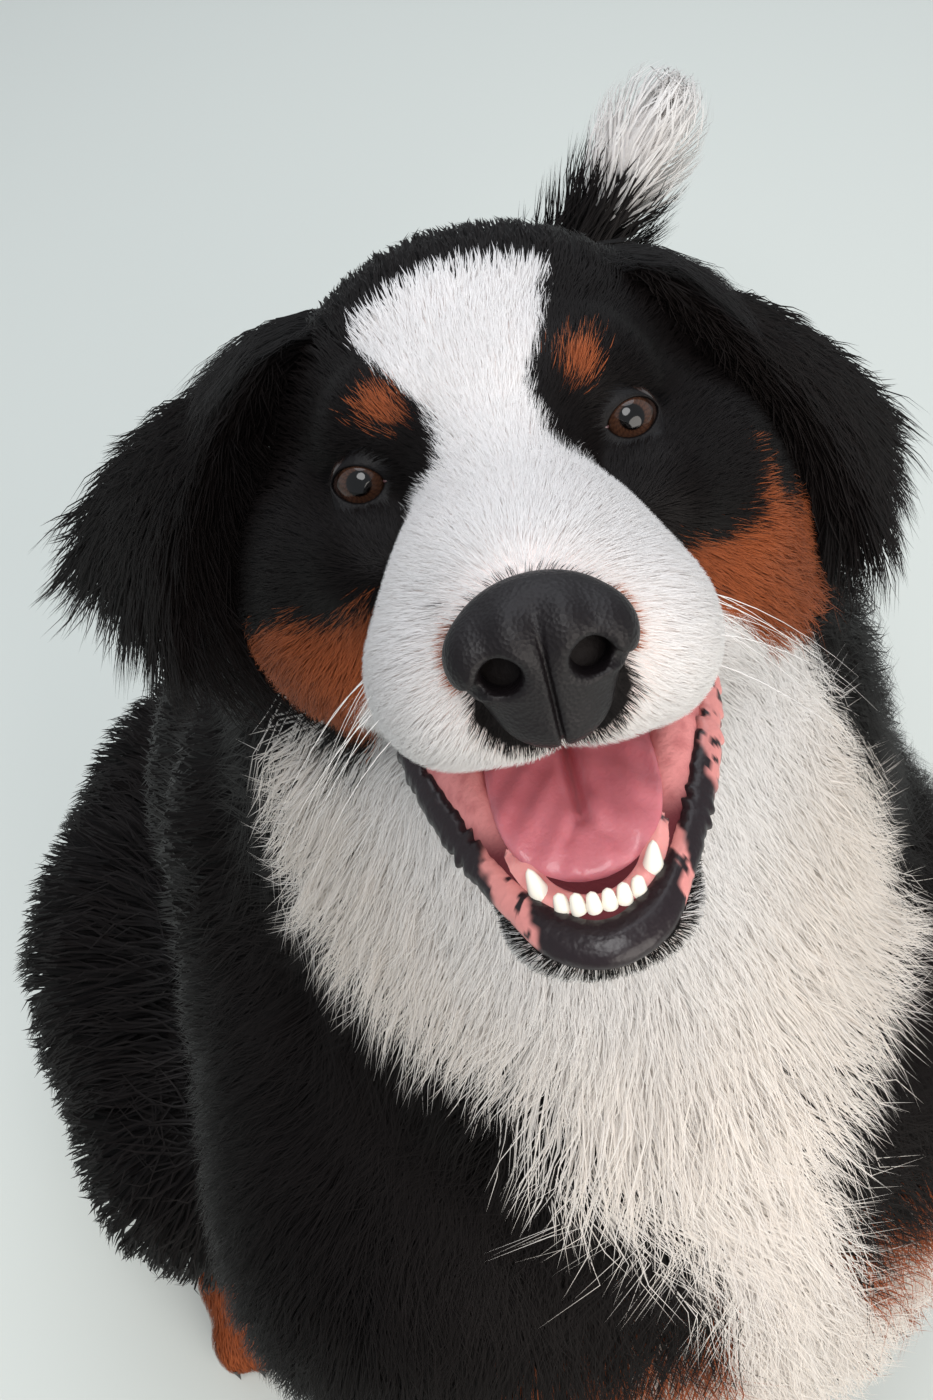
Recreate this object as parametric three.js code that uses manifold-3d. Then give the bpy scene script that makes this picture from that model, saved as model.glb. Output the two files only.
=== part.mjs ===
// A sitting Bernese mountain dog, life size, in mm. It faces -Y, its left side is +X, the floor is z = 0.
// Its flesh is a list of eggs and tapering limbs that melt into one another, each with its coat's depth.
import * as THREE from "three";
import { mergeVertices } from "three/addons/utils/BufferGeometryUtils.js";
import Module from "manifold-3d";

const wasm = await Module();
wasm.setup();

const GAP = 0.3; // clearance between touching pieces
const V = (x, y, z) => new THREE.Vector3(x, y, z);

// The head's own frame, placed at the point midway between the eyes.
const HEAD_AT = V(0, -40, 800);
const HEAD_YAW = THREE.MathUtils.degToRad(21.5); // turned to the dog's right
const HEAD_PITCH = THREE.MathUtils.degToRad(39.2); // muzzle raised
const HEAD_TILT = THREE.MathUtils.degToRad(4.1);
const FORE = V(
  -Math.sin(HEAD_YAW) * Math.cos(HEAD_PITCH),
  -Math.cos(HEAD_YAW) * Math.cos(HEAD_PITCH),
  Math.sin(HEAD_PITCH),
);
const LEVEL = V(Math.cos(HEAD_YAW), -Math.sin(HEAD_YAW), 0);
const CREST = FORE.clone().cross(LEVEL);
const LEFT = LEVEL.clone().multiplyScalar(Math.cos(HEAD_TILT)).addScaledVector(CREST, Math.sin(HEAD_TILT));
const UP = FORE.clone().cross(LEFT);
const head = (left, fore, up) =>
  HEAD_AT.clone().addScaledVector(LEFT, left).addScaledVector(FORE, fore).addScaledVector(UP, up);
const inHead = (p) => {
  const q = p.clone().sub(HEAD_AT);
  return V(q.dot(LEFT), q.dot(FORE), q.dot(UP));
};
const HEAD_TURN = new THREE.Matrix4().makeBasis(LEFT, FORE.clone().negate(), UP).setPosition(HEAD_AT);

// Flesh: each piece gives the distance from its own surface and the depth of coat it carries.
const egg = (centre, radii, coat) => ({
  coat,
  far: (p) => {
    const q = p.clone().sub(centre);
    const a = q.clone().divide(radii);
    const b = a.clone().divide(radii);
    return (a.length() * (a.length() - 1)) / Math.max(b.length(), 1e-9);
  },
});
const limb = (from, to, r0, r1, coat) => {
  const run = to.clone().sub(from);
  return {
    coat,
    far: (p) => {
      const q = p.clone().sub(from);
      const t = THREE.MathUtils.clamp(q.dot(run) / run.lengthSq(), 0, 1);
      return q.addScaledVector(run, -t).length() - THREE.MathUtils.lerp(r0, r1, t);
    },
  };
};

// Reads a list of flesh at a point: blended distance and blended coat depth.
function read(flesh, melt, p) {
  const fars = flesh.map((f) => f.far(p));
  const least = Math.min(...fars);
  let gap = Infinity;
  let weight = 0;
  let coat = 0;
  fars.forEach((d, i) => {
    const h = Math.max(melt - Math.abs(gap - d), 0) / melt;
    gap = Math.min(gap, d) - (h * h * melt) / 4;
    const w = Math.exp(-(d - least) / 22);
    weight += w;
    coat += w * flesh[i].coat;
  });
  return { gap, coat: coat / weight };
}

// Sizes of the flesh. Head lists are in (left, fore, up) of the head's frame, for the left half; the
// body lists are in the world, for the left half too, and are read mirrored on the right.
const HEAD_FLESH = [
  egg(V(0, -74, 3), V(70, 84, 62), 16), // skull
  egg(V(0, -22, 8), V(54, 38, 30), 6), // forehead
  egg(V(33, -7, 15), V(17, 15, 14), 3), // brow
  egg(V(0, 46, -32), V(37, 62, 26), 4), // muzzle
  egg(V(0, 96, -46), V(29, 30, 23), 4), // end of the muzzle
  egg(V(27, 68, -55), V(22, 42, 25), 4), // hanging lip
  egg(V(47, -8, -27), V(22, 32, 22), 4), // cheekbone
  egg(V(57, -42, -36), V(35, 46, 42), 15), // cheek
  egg(V(0, -62, -52), V(58, 52, 44), 24), // throat behind the jaw
];
const JAW_FLESH = [
  limb(V(44, -20, -70), V(17, 58, -134), 16, 11, 6), // side of the jaw
  egg(V(0, 64, -142), V(26, 21, 12), 4), // chin
  limb(V(0, -20, -92), V(0, 48, -136), 34, 18, 8), // floor of the mouth
];
const NECK_FLESH = [
  limb(head(0, -88, -34), V(0, 20, 490), 66, 112, 40),
  limb(head(0, -122, -8), V(0, 100, 555), 46, 62, 36), // nape
  limb(head(0, -46, -72), V(0, -92, 430), 44, 88, 48), // throat
  limb(head(34, -70, -66), V(60, -22, 500), 52, 80, 48), // ruff on the stretched side
];
const TRUNK_FLESH = [
  limb(V(0, -25, 420), V(0, 180, 350), 134, 124, 36), // ribs
  limb(V(0, 40, 515), V(0, 140, 500), 74, 76, 32), // withers
  limb(V(0, 180, 345), V(0, 330, 215), 120, 112, 34), // loin
  egg(V(0, 372, 142), V(118, 104, 134), 38), // rump
  egg(V(0, -114, 376), V(110, 88, 118), 58), // breastbone
  limb(V(68, 58, 505), V(106, -86, 394), 56, 72, 42), // shoulder blade
  limb(V(106, -86, 394), V(112, 8, 288), 70, 52, 30), // upper arm
];
const THIGH_FLESH = [
  limb(V(95, 330, 190), V(204, 112, 190), 92, 60, 34),
  egg(V(178, 222, 178), V(82, 118, 108), 40),
  limb(V(204, 108, 178), V(170, 272, 70), 52, 38, 26), // shank
];
const FORELEG_FLESH = [
  limb(V(112, 2, 285), V(101, -20, 115), 50, 29, 14),
  limb(V(101, -20, 115), V(100, -32, 48), 29, 30, 8),
];
// The four toes of a paw, side by side in front of its ball; lean turns them outward.
const TOES = [-1.5, -0.5, 0.5, 1.5];
const TOE_PITCH = 17;
const toeAt = (ball, reach, lean, i) =>
  V(
    ball.x + TOES[i] * TOE_PITCH * Math.cos(lean) + Math.sin(lean) * (reach - 5 * Math.abs(TOES[i])),
    ball.y + TOES[i] * TOE_PITCH * Math.sin(lean) - Math.cos(lean) * (reach - 5 * Math.abs(TOES[i])),
    17,
  );
const FORE_BALL = V(100, -48, 26);
const HIND_BALL = V(238, 84, 25);
const FORE_REACH = 38;
const HIND_REACH = 46;
const HIND_LEAN = 0.16;
const toes = (ball, reach, lean) => TOES.map((_, i) => egg(toeAt(ball, reach, lean, i), V(10, 18, 14), 3));
const FOREPAW_FLESH = [egg(FORE_BALL, V(34, 42, 27), 4), ...toes(FORE_BALL, FORE_REACH, 0)];
const HINDFOOT_FLESH = [
  limb(V(170, 280, 52), V(222, 132, 40), 33, 28, 10),
  egg(HIND_BALL, V(34, 50, 26), 4),
  ...toes(HIND_BALL, HIND_REACH, HIND_LEAN),
];
const TAIL_LINE = [
  V(0, 440, 118),
  V(42, 520, 98),
  V(140, 570, 130),
  V(245, 584, 220),
  V(338, 584, 325),
  V(430, 594, 428),
];
const TAIL_RADII = [40, 34, 30, 26, 20, 8];
const TAIL_COATS = [38, 42, 46, 48, 36];

const tailFlesh = TAIL_LINE.slice(1).map((to, i) =>
  limb(TAIL_LINE[i], to, TAIL_RADII[i], TAIL_RADII[i + 1], TAIL_COATS[i]),
);

// A body grown round a curved spine: where its surface lies, at any share of the coat's depth.
class Form {
  constructor(spine, flesh, melt, side = V(1, 0, 0), bendy = false) {
    this.line = spine.length > 2 ? new THREE.CatmullRomCurve3(spine) : new THREE.LineCurve3(...spine);
    this.axis = bendy ? null : spine.at(-1).clone().sub(spine[0]).normalize();
    this.flesh = flesh;
    this.melt = melt;
    this.side = side;
  }

  // The outward direction at t along the spine, round it by (a, c) and leaning by b towards its end.
  // Rings stand square to one axis, or to a bendy spine itself.
  direction(t, a, b, c) {
    const tangent = this.axis ?? this.line.getTangent(t);
    const x = this.side.clone().addScaledVector(tangent, -this.side.dot(tangent)).normalize();
    const z = x.clone().cross(tangent);
    return x.multiplyScalar(a).addScaledVector(tangent, b).addScaledVector(z, c).normalize();
  }

  level(p, share) {
    const { gap, coat } = read(this.flesh, this.melt, p);
    return gap - coat * share;
  }

  push(t, out, share, extra = 0) {
    const from = this.line.getPoint(t);
    const at = (s) => this.level(from.clone().addScaledVector(out, s), share) - extra;
    let hi = STEP;
    while (hi < REACH && (at(hi) < 0 || at(hi + HOLLOW) < 0)) hi += STEP;
    let lo = hi - STEP;
    for (let k = 0; k < 12; k++) {
      const mid = (lo + hi) / 2;
      if (at(mid) < 0) lo = mid;
      else hi = mid;
    }
    return from.addScaledVector(out, hi);
  }

  // A capsule whose every point is pushed out to the surface.
  solid(share, around, along, caps, extra = 0) {
    const g = welded(new THREE.CapsuleGeometry(1, 2, caps, around, along));
    const at = g.getAttribute("position");
    for (let i = 0; i < at.count; i++) {
      const y = THREE.MathUtils.clamp(at.getY(i), -1, 1);
      const t = (y + 1) / 2;
      const p = this.push(t, this.direction(t, at.getX(i), at.getY(i) - y, at.getZ(i)), share, extra);
      at.setXYZ(i, p.x, p.y, p.z);
    }
    return solid(g);
  }

  normal(p) {
    const e = 3;
    const d = (v) => this.level(p.clone().add(v), 0) - this.level(p.clone().sub(v), 0);
    return V(d(V(e, 0, 0)), d(V(0, e, 0)), d(V(0, 0, e))).normalize();
  }

  // The normal without its part along a run.
  face(p, run) {
    const n = this.normal(p);
    return n.addScaledVector(run, -n.dot(run));
  }

  // The point moved out or in, square to a run, until it lies at a share of the coat's depth.
  settle(p, share, run) {
    const q = p.clone();
    for (let k = 0; k < 3; k++) q.addScaledVector(this.face(q, run), -0.9 * this.level(q, share));
    return q;
  }
}
const STEP = 4; // of the search for a surface
const REACH = 420;
const HOLLOW = 30; // depth of a fold that is bridged

// A geometry with its seams welded.
function welded(g) {
  g.deleteAttribute("normal");
  g.deleteAttribute("uv");
  return mergeVertices(g, 1e-3);
}

// The geometry with its surface moved outward.
function swell(g, grow) {
  if (!grow) return g;
  g.computeVertexNormals();
  const at = g.getAttribute("position");
  const n = g.getAttribute("normal");
  const out = signedVolume(g) > 0 ? 1.3 * grow : -1.3 * grow;
  for (let i = 0; i < at.count; i++) {
    at.setXYZ(i, at.getX(i) + out * n.getX(i), at.getY(i) + out * n.getY(i), at.getZ(i) + out * n.getZ(i));
  }
  return g;
}
function signedVolume(g) {
  const at = g.getAttribute("position");
  const idx = g.index.array;
  const corner = (k) => V(at.getX(idx[k]), at.getY(idx[k]), at.getZ(idx[k]));
  let sum = 0;
  for (let i = 0; i < idx.length; i += 3) sum += corner(i).dot(corner(i + 1).cross(corner(i + 2)));
  return sum;
}

// A geometry as a closed solid, facing outward and with its pole slivers dropped.
function solid(geometry, matrix) {
  const merged = welded(geometry);
  if (matrix) merged.applyMatrix4(matrix);
  const tris = [];
  const idx = merged.index.array;
  for (let i = 0; i < idx.length; i += 3) {
    const [a, b, c] = [idx[i], idx[i + 1], idx[i + 2]];
    if (a !== b && b !== c && c !== a) tris.push(a, b, c);
  }
  const made = (triVerts) =>
    new wasm.Manifold(
      new wasm.Mesh({ numProp: 3, vertProperties: merged.getAttribute("position").array, triVerts }),
    );
  const one = made(new Uint32Array(tris));
  if (one.volume() > 0) return one;
  for (let i = 0; i < tris.length; i += 3) [tris[i + 1], tris[i + 2]] = [tris[i + 2], tris[i + 1]];
  return made(new Uint32Array(tris));
}
const join = (solids) => solids.reduce((a, b) => a.add(b));
const largest = (s) => s.decompose().sort((a, b) => b.volume() - a.volume())[0];

// A box between two corners, optionally turned and moved: the cutting tool that parts the pieces.
function block(min, max, grow = 0, matrix = undefined) {
  const g = new THREE.BoxGeometry(
    max.x - min.x + 2 * grow,
    max.y - min.y + 2 * grow,
    max.z - min.z + 2 * grow,
  );
  g.translate((min.x + max.x) / 2, (min.y + max.y) / 2, (min.z + max.z) / 2);
  return solid(g, matrix);
}
// The space on the far side of a plane, as a huge block standing on it.
const HUGE = 1500;
function beyond(point, normal, grow = 0) {
  const turn = new THREE.Quaternion().setFromUnitVectors(V(0, 0, 1), normal.clone().normalize());
  const m = new THREE.Matrix4().compose(point, turn, V(1, 1, 1));
  return block(V(-HUGE, -HUGE, 0), V(HUGE, HUGE, HUGE), grow, m);
}
const mirrorList = (flesh) =>
  flesh.map((f) => ({ coat: f.coat, far: (p) => f.far(V(Math.abs(p.x), p.y, p.z)) }));
const headList = (flesh) =>
  flesh.map((f) => ({
    coat: f.coat,
    far: (p) => {
      const q = inHead(p);
      return f.far(V(Math.abs(q.x), q.y, q.z));
    },
  }));
const flip = (s, side) => (side > 0 ? s : V(-s.x, s.y, s.z));

// Head pieces are drawn in a frame of their own: x to the left, y to the back, z up.
const inPlace = (left, fore, up, turn = 0, yaw = 0) => {
  const local = new THREE.Matrix4().makeRotationFromEuler(new THREE.Euler(turn, 0, yaw, "ZXY"));
  local.setPosition(left, -fore, up);
  return HEAD_TURN.clone().multiply(local);
};
const ball = (radii, rings = 12) => new THREE.SphereGeometry(1, rings * 2, rings).scale(...radii.toArray());
const headBall = (radii, left, fore, up, grow = 0, turn = 0, rings = 6, yaw = 0) =>
  solid(ball(radii.clone().addScalar(grow), rings), inPlace(left, fore, up, turn, yaw));

const TIPS = 1; // share of the coat's depth that short coats are built to
const CORE = 0.45; // and that the core under long locks reaches
const headFlesh = headList(HEAD_FLESH);
const jawFlesh = headList(JAW_FLESH);
const trunkFlesh = mirrorList(TRUNK_FLESH);
const thighFlesh = mirrorList(THIGH_FLESH);
const forelegFlesh = mirrorList(FORELEG_FLESH);
const forepawFlesh = mirrorList(FOREPAW_FLESH);
const hindfootFlesh = mirrorList(HINDFOOT_FLESH);

const SIDES = [
  ["left", 1],
  ["right", -1],
];
const parts = new Map();
const FINISH = {};
function keep(name, s, finish) {
  parts.set(name, largest(s));
  FINISH[name] = finish;
}
const BLACK = ["#1c1816", 0.85];
const WHITE = ["#efe9e2", 0.85];
const RUST = ["#a4562a", 0.85];
const NOSE = ["#2b2730", 0.45];
const GUM = ["#c9767c", 0.4];
const TOOTH = ["#f0ead8", 0.3];
const IRIS = ["#4a2a16", 0.1];
const CLAW = ["#2a2624", 0.5];

// Eyes: a ball in a socket, under lids that leave an almond open.
const EYE_LEFT = 43;
const EYE_R = 11.5;
const LID = 1.8;
const GAZE_OUT = 0.3; // radians each eye looks outward
const eyeBall = (side, r) => headBall(V(r, r, r), side * EYE_LEFT, 0, 0);
const eyeSlit = (side) =>
  solid(
    new THREE.CylinderGeometry(1, 1, 16, 12, 1).scale(8.2, 1, 5.8),
    inPlace(side * (EYE_LEFT + 2.5), 9, 0, 0, side * GAZE_OUT),
  );

// Nose pad: a broad pad over a narrow one, with two comma-shaped nostrils.
const nosePad = (grow) =>
  headBall(V(23.5, 15, 17), 0, 121, -42, grow, 0, 7).add(headBall(V(13, 11, 13), 0, 120, -60, grow, 0, 5));
const nostril = (side) =>
  solid(
    new THREE.CylinderGeometry(4.2, 2.4, 16, 6, 1).scale(1, 1, 0.8),
    inPlace(side * 12, 133, -47, -0.2, side * -0.5),
  ).add(headBall(V(2.2, 9, 2), side * 20, 127, -50, 0, 0, 4));

// Mouth: the gape above the tongue, the tongue in its bed and the teeth of the lower jaw.
const JAW_SLOPE = 0.6; // radians the open jaw hangs below the muzzle's line
const gape = () => headBall(V(33, 72, 24), 0, 40, -86, 0, 0.3);
const tongueBody = (grow) => {
  const g = headBall(V(25, 46, 7), 0, 30, -103, grow, JAW_SLOPE, 5);
  return grow ? g : g.subtract(headBall(V(1.4, 40, 2.2), 0, 36, -98, 0, JAW_SLOPE, 3));
};
const bed = () => headBall(V(28, 60, 18), 0, 34, -92, 0, JAW_SLOPE, 5);
const tooth = (left, fore, up, r, length, grow) =>
  solid(
    new THREE.CylinderGeometry(r * 0.45 + grow, r + grow, length + 2 * grow, 5, 1).rotateX(Math.PI / 2),
    inPlace(left, fore, up, JAW_SLOPE - 0.25),
  );
const INCISORS = [-2.5, -1.5, -0.5, 0.5, 1.5, 2.5];
const incisorRow = (grow) =>
  join(INCISORS.map((k) => tooth(k * 4.3, 76 - 0.55 * k * k, -131, 2.6, 10, grow)));
const canine = (side, grow) => tooth(side * 16.5, 66, -125, 3.6, 17, grow);

// Ears: a hanging flap from the skull, its front edge folded down and its hem carried out and back.
// Corners in (left, fore, up): the root's front and back, the hem's front and back, hair included.
const EARS = {
  left: { root: [V(66, -36, 36), V(72, -104, 54)], hem: [V(121, -46, -98), V(168, -124, -34)], crest: 24 },
  right: { root: [V(66, -36, 40), V(72, -104, 58)], hem: [V(115, -40, -84), V(192, -122, -10)], crest: 30 },
};
const EAR_THICK = 7; // half thickness of the flap with its short hair
const EAR_FACE = V(0.62, 0.72, 0.25).normalize();
const EAR_DEEP = 0.72; // share of the ear's length and breadth that is flap, the rest being fringe
const EAR_BROAD = 0.8;
function earPoint(ear, u, v) {
  const top = ear.root[0].clone().lerp(ear.root[1], v);
  const low = ear.hem[0].clone().lerp(ear.hem[1], v);
  const p = top.lerp(low, u);
  const bow = Math.sin(Math.PI * Math.min(1, u * 0.9 + 0.05));
  p.x += bow * 10;
  p.y += bow * (16 * Math.sin(Math.PI * v) - 6);
  p.z += bow * ear.crest * (0.3 + 0.7 * v);
  return p;
}
const earToWorld = (p, side) => V(side * p.x, -p.y, p.z).applyMatrix4(HEAD_TURN);
function earFlap(ear, side, grow) {
  const g = welded(new THREE.BoxGeometry(1, 1, 1, 5, 4, 1));
  const at = g.getAttribute("position");
  for (let i = 0; i < at.count; i++) {
    const u = at.getX(i) + 0.5;
    const v = at.getY(i) + 0.5;
    const p = earPoint(ear, u * EAR_DEEP, v * EAR_BROAD);
    const edge = Math.sin(Math.PI * (0.12 + 0.76 * v)) ** 0.6 * (1 - 0.45 * u ** 3);
    p.addScaledVector(EAR_FACE, 2 * at.getZ(i) * EAR_THICK * edge);
    at.setXYZ(i, side * p.x, -p.y, p.z);
  }
  return solid(swell(g, grow), HEAD_TURN);
}
// Locks of an ear: [u, v] of the root and of the tip, on the flap and out to the hem.
const EAR_RUNS = [
  ...[0.06, 0.3, 0.54, 0.78].map((v) => [0.5, v * EAR_BROAD, 1, v * 1.05]),
  ...[0.15, 0.42, 0.68].map((u) => [u * 0.9, 0.62, u + 0.2, 1]),
];
const EAR_LIFT = [0, 3, 0]; // of a lock above the flap
const EAR_LOCK = { breadth: 46, thick: 5 };
function earRuns(ear, side, chance) {
  return EAR_RUNS.map(([u0, v0, u1, v1]) => {
    const path = [0, 1, 2].map((k) => {
      const p = earPoint(ear, THREE.MathUtils.lerp(u0, u1, k / 2), THREE.MathUtils.lerp(v0, v1, k / 2));
      return earToWorld(p.addScaledVector(EAR_FACE, EAR_LIFT[k] + (chance() - 0.5) * 1.5), side);
    });
    const face = earToWorld(EAR_FACE, side).sub(earToWorld(V(0, 0, 0), side));
    return { path, faces: path.map(() => face) };
  });
}

// Claws: short cones at the toes.
const CLAW_LENGTH = 13;
const clawAt = (ballAt, reach, lean, i, side, grow) => {
  const toe = toeAt(ballAt, reach, lean, i);
  const g = new THREE.ConeGeometry(3 + grow, CLAW_LENGTH + 4 * grow, 6, 1);
  g.rotateX(-Math.PI / 2 - 0.35);
  g.translate(0, -19, -4);
  g.rotateZ(lean);
  g.translate(toe.x, toe.y, toe.z);
  if (side < 0) g.applyMatrix4(new THREE.Matrix4().makeScale(-1, 1, 1));
  return solid(g);
};
const PAWS = {
  front: [FORE_BALL, FORE_REACH, 0],
  hind: [HIND_BALL, HIND_REACH, HIND_LEAN],
};
const paw = (name, i, side, grow) => clawAt(...PAWS[name], i, side, grow);

// A seeded draw between 0 and 1.
function draws(seed) {
  let state = seed;
  return () => {
    state = (state * 1664525 + 1013904223) % 4294967296;
    return state / 4294967296;
  };
}

// A lock: a flat three-sided cone bent along a path, its crest on the faces' side.
const LOCK_SWELL = [0.9, 1, 0]; // breadth at the root, along the lock and at its tip
const CORNER_REACH = 0.58; // of a corner from the middle, as a share of the breadth
const LOCK_SPARE = { back: 3, tip: 10, across: 6, crest: 8 }; // growth of a lock for each mm of clearance
function lockAlong(path, faces, breadth, thick, extra = 0) {
  const g = welded(new THREE.ConeGeometry(1, 1, 3, path.length - 1));
  const at = g.getAttribute("position");
  const last = path.length - 1;
  for (let i = 0; i < at.count; i++) {
    const k = Math.round((at.getY(i) + 0.5) * last);
    const left = 1 - k / last;
    const run = path[Math.min(k + 1, last)].clone().sub(path[Math.max(k - 1, 0)]).normalize();
    const spare = left > 0 ? -LOCK_SPARE.back : LOCK_SPARE.tip;
    const p = path[k].clone().addScaledVector(run, spare * extra);
    if (left > 0) {
      const across = run.cross(faces[k]).normalize();
      const wide = CORNER_REACH * breadth * LOCK_SWELL[k] + LOCK_SPARE.across * extra;
      const high = thick * LOCK_SWELL[k] + LOCK_SPARE.crest * extra;
      p.addScaledVector(across, (at.getX(i) / left) * wide);
      p.addScaledVector(faces[k], (at.getZ(i) / left) * high);
    }
    at.setXYZ(i, p.x, p.y, p.z);
  }
  return solid(g);
}

// A lock rooted in a form's core, lying along the coat and ending at its tips.
const LOCK_RISE = [0.1, 0.78, 1]; // depths in the coat, as shares, from the root to the tip
function lockOn(form, root, lie, size, chance) {
  const bend = (chance() - 0.5) * 0.5;
  const path = [];
  const faces = [];
  let at = root.clone();
  LOCK_RISE.forEach((rise, k) => {
    const n = k ? faces[k - 1] : form.normal(root);
    const run = lie(at).addScaledVector(n, -lie(at).dot(n)).normalize().applyAxisAngle(n, bend * k);
    if (k) at.addScaledVector(run, size.length / (LOCK_RISE.length - 1));
    at = form.settle(at, rise, run);
    path.push(at.clone());
    const face = form.face(at, run).addScaledVector(n, k ? 1 : 0);
    faces.push(face.addScaledVector(run, -face.dot(run)).normalize());
  });
  return lockAlong(path, faces, size.breadth * (0.9 + 0.25 * chance()), size.thick);
}

// The forms of the body and how each is coated. Rows of locks run round the spine from one end cap
// (below 0) along it (0 to 1) to the other (above 1); pitch is the distance between locks.
const coats = [];
const cores = [];
function grow(form, mesh, coat) {
  coats.push({ form, ...coat });
  cores.push(form.solid(CORE, ...mesh));
}
const headForm = new Form([head(0, -118, -8), head(0, 96, -46)], headFlesh, 13, LEFT);
const LONG = { length: 140, breadth: 100, thick: 12 };
const BRUSH = { length: 112, breadth: 64, thick: 11 };
const MIDDLE = { length: 122, breadth: 88, thick: 11 };
cores.push(headForm.solid(TIPS, 18, 8, 3));
const neckForm = new Form([head(0, -80, -20), V(10, 10, 600), V(0, 20, 480)], NECK_FLESH, 40);
grow(neckForm, [14, 4, 3], {
  rows: [0.02, 1],
  pitch: 100,
  size: LONG,
  lie: (p) => V(p.x * 0.002, p.y * 0.003, -1),
});
const trunkForm = new Form([V(0, -30, 420), V(0, 120, 400), V(0, 250, 290), V(0, 370, 150)], trunkFlesh, 45);
grow(trunkForm, [14, 6, 3], {
  rows: [-0.75, 1.6],
  pitch: 120,
  size: LONG,
  lie: (p) => V(0, THREE.MathUtils.clamp((p.y + 110) / 160, 0, 1.1), -0.9),
});
grow(new Form(TAIL_LINE, tailFlesh, 14, V(0, -0.2, 1), true), [9, 8, 2], {
  rows: [0.03, 0.92],
  pitch: 92,
  size: BRUSH,
  lie: (p) => V(0.75, 0.25, THREE.MathUtils.clamp((p.x - 120) / 160, -0.3, 1)),
});
SIDES.forEach(([, side]) => {
  const between = (from, to, flesh, melt) => new Form([flip(from, side), flip(to, side)], flesh, melt);
  grow(between(V(110, 310, 190), V(198, 125, 185), thighFlesh, 40), [12, 4, 2], {
    rows: [-0.7, 1.5],
    pitch: 114,
    size: MIDDLE,
    lie: () => V(0, 0.6, -0.8),
  });
  cores.push(
    between(V(104, -50, 380), V(101, -20, 112), forelegFlesh, 24).solid(TIPS, 11, 5, 3),
    between(V(100, -20, 110), V(100, -60, 27), forepawFlesh, 9).solid(TIPS, 14, 2, 3),
    between(V(172, 270, 50), V(241, 66, 27), hindfootFlesh, 9).solid(TIPS, 12, 5, 3),
  );
});

// Locks in staggered rows, left out where another form's core already covers their root.
const LEAST_COAT = 20; // shorter coat has no locks
const FLOOR_CLEAR = 34; // least height of a lock's root
const CAP_LENGTH = 210; // of the coat over a rounded end, from its rim to its middle
const COVERED = 4; // depth in another core that hides a root
function locksOf({ form, rows, pitch, size, lie }, chance) {
  const found = [];
  const length = form.line.getLength();
  const ring = (s) => {
    const t = THREE.MathUtils.clamp(s, 0, 1);
    const lean = (s - t) * (Math.PI / 2);
    return (angle) =>
      form.push(
        t,
        form.direction(t, Math.cos(lean) * Math.cos(angle), Math.sin(lean), Math.cos(lean) * Math.sin(angle)),
        CORE,
      );
  };
  const capPitch = pitch / CAP_LENGTH;
  let s = rows[0];
  let row = 0;
  while (s < rows[1]) {
    const at = ring(s);
    const middle = at(0).add(at(Math.PI)).multiplyScalar(0.5);
    const round = [0, 1, 2, 3, 4, 5].map((k) => at((k * Math.PI) / 3).distanceTo(middle));
    const count = Math.max(3, Math.round((round.reduce((a, b) => a + b) * Math.PI) / 3 / pitch));
    for (let k = 0; k < count; k++) {
      const root = at((2 * Math.PI * (k + (row % 2) / 2 + (chance() - 0.5) * 0.3)) / count);
      const { coat } = read(form.flesh, form.melt, root);
      const covered = coats.some((c) => c.form !== form && c.form.level(root, CORE) < -COVERED);
      if (coat >= LEAST_COAT && !covered && root.z > FLOOR_CLEAR && headForm.level(root, TIPS) > 0) {
        found.push(lockOn(form, root, lie, size, chance));
      }
    }
    s += s < 0 || s > 1 ? capPitch : (pitch * 0.86) / length;
    row++;
  }
  return found;
}
const chance = draws(25);
const locks = coats.flatMap((c) => locksOf(c, chance));
let rest = join([...cores, ...locks]).intersect(beyond(V(0, 0, 0), V(0, 0, 1)));

// Head furniture is taken out of the head with its clearance and kept as pieces of its own.
const jawBody = new Form([head(0, -16, -84), head(0, 60, -138)], jawFlesh, 9, LEFT);
const jawForm = (extra) => jawBody.solid(TIPS, 12, 4, 2, extra);
rest = rest.subtract(gape());
SIDES.forEach(([, side]) => {
  rest = rest.subtract(headBall(V(13, 10, 9), side * 46, 15, -1, 0, 0, 6));
  rest = rest.add(eyeBall(side, EYE_R + LID)).subtract(eyeBall(side, EYE_R + GAP)).subtract(eyeSlit(side));
  keep("eye_" + (side > 0 ? "left" : "right"), eyeBall(side, EYE_R), IRIS);
});
rest = rest.subtract(nosePad(GAP)).subtract(jawForm(GAP)).subtract(tongueBody(GAP));
keep("nose", nosePad(0).subtract(nostril(1)).subtract(nostril(-1)), NOSE);
keep("tongue", tongueBody(0), GUM);
let jaw = jawForm(0).subtract(bed()).subtract(tongueBody(GAP)).subtract(incisorRow(GAP));
SIDES.forEach(([name, side]) => {
  jaw = jaw.subtract(canine(side, GAP));
  keep("canine_" + name, canine(side, 0), TOOTH);
});
keep("incisors", incisorRow(0), TOOTH);
keep("lower_jaw", jaw, ["#d9cfc8", 0.7]);

SIDES.forEach(([name, side]) => {
  const runs = earRuns(EARS[name], side, chance);
  const earSolid = (extra) =>
    runs.reduce(
      (s, { path, faces }) => s.add(lockAlong(path, faces, EAR_LOCK.breadth, EAR_LOCK.thick, extra)),
      earFlap(EARS[name], side, extra),
    );
  const ear = largest(earSolid(0));
  rest = rest.subtract(earSolid(GAP)).subtract(ear);
  keep("ear_" + name, ear, BLACK);
});
SIDES.forEach(([name, side]) => {
  for (const end of ["front", "hind"]) {
    TOES.forEach((_, i) => {
      rest = rest.subtract(paw(end, i, side, GAP));
      keep(`claw_${end}_${name}_${i + 1}`, paw(end, i, side, 0), CLAW);
    });
  }
});

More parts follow.
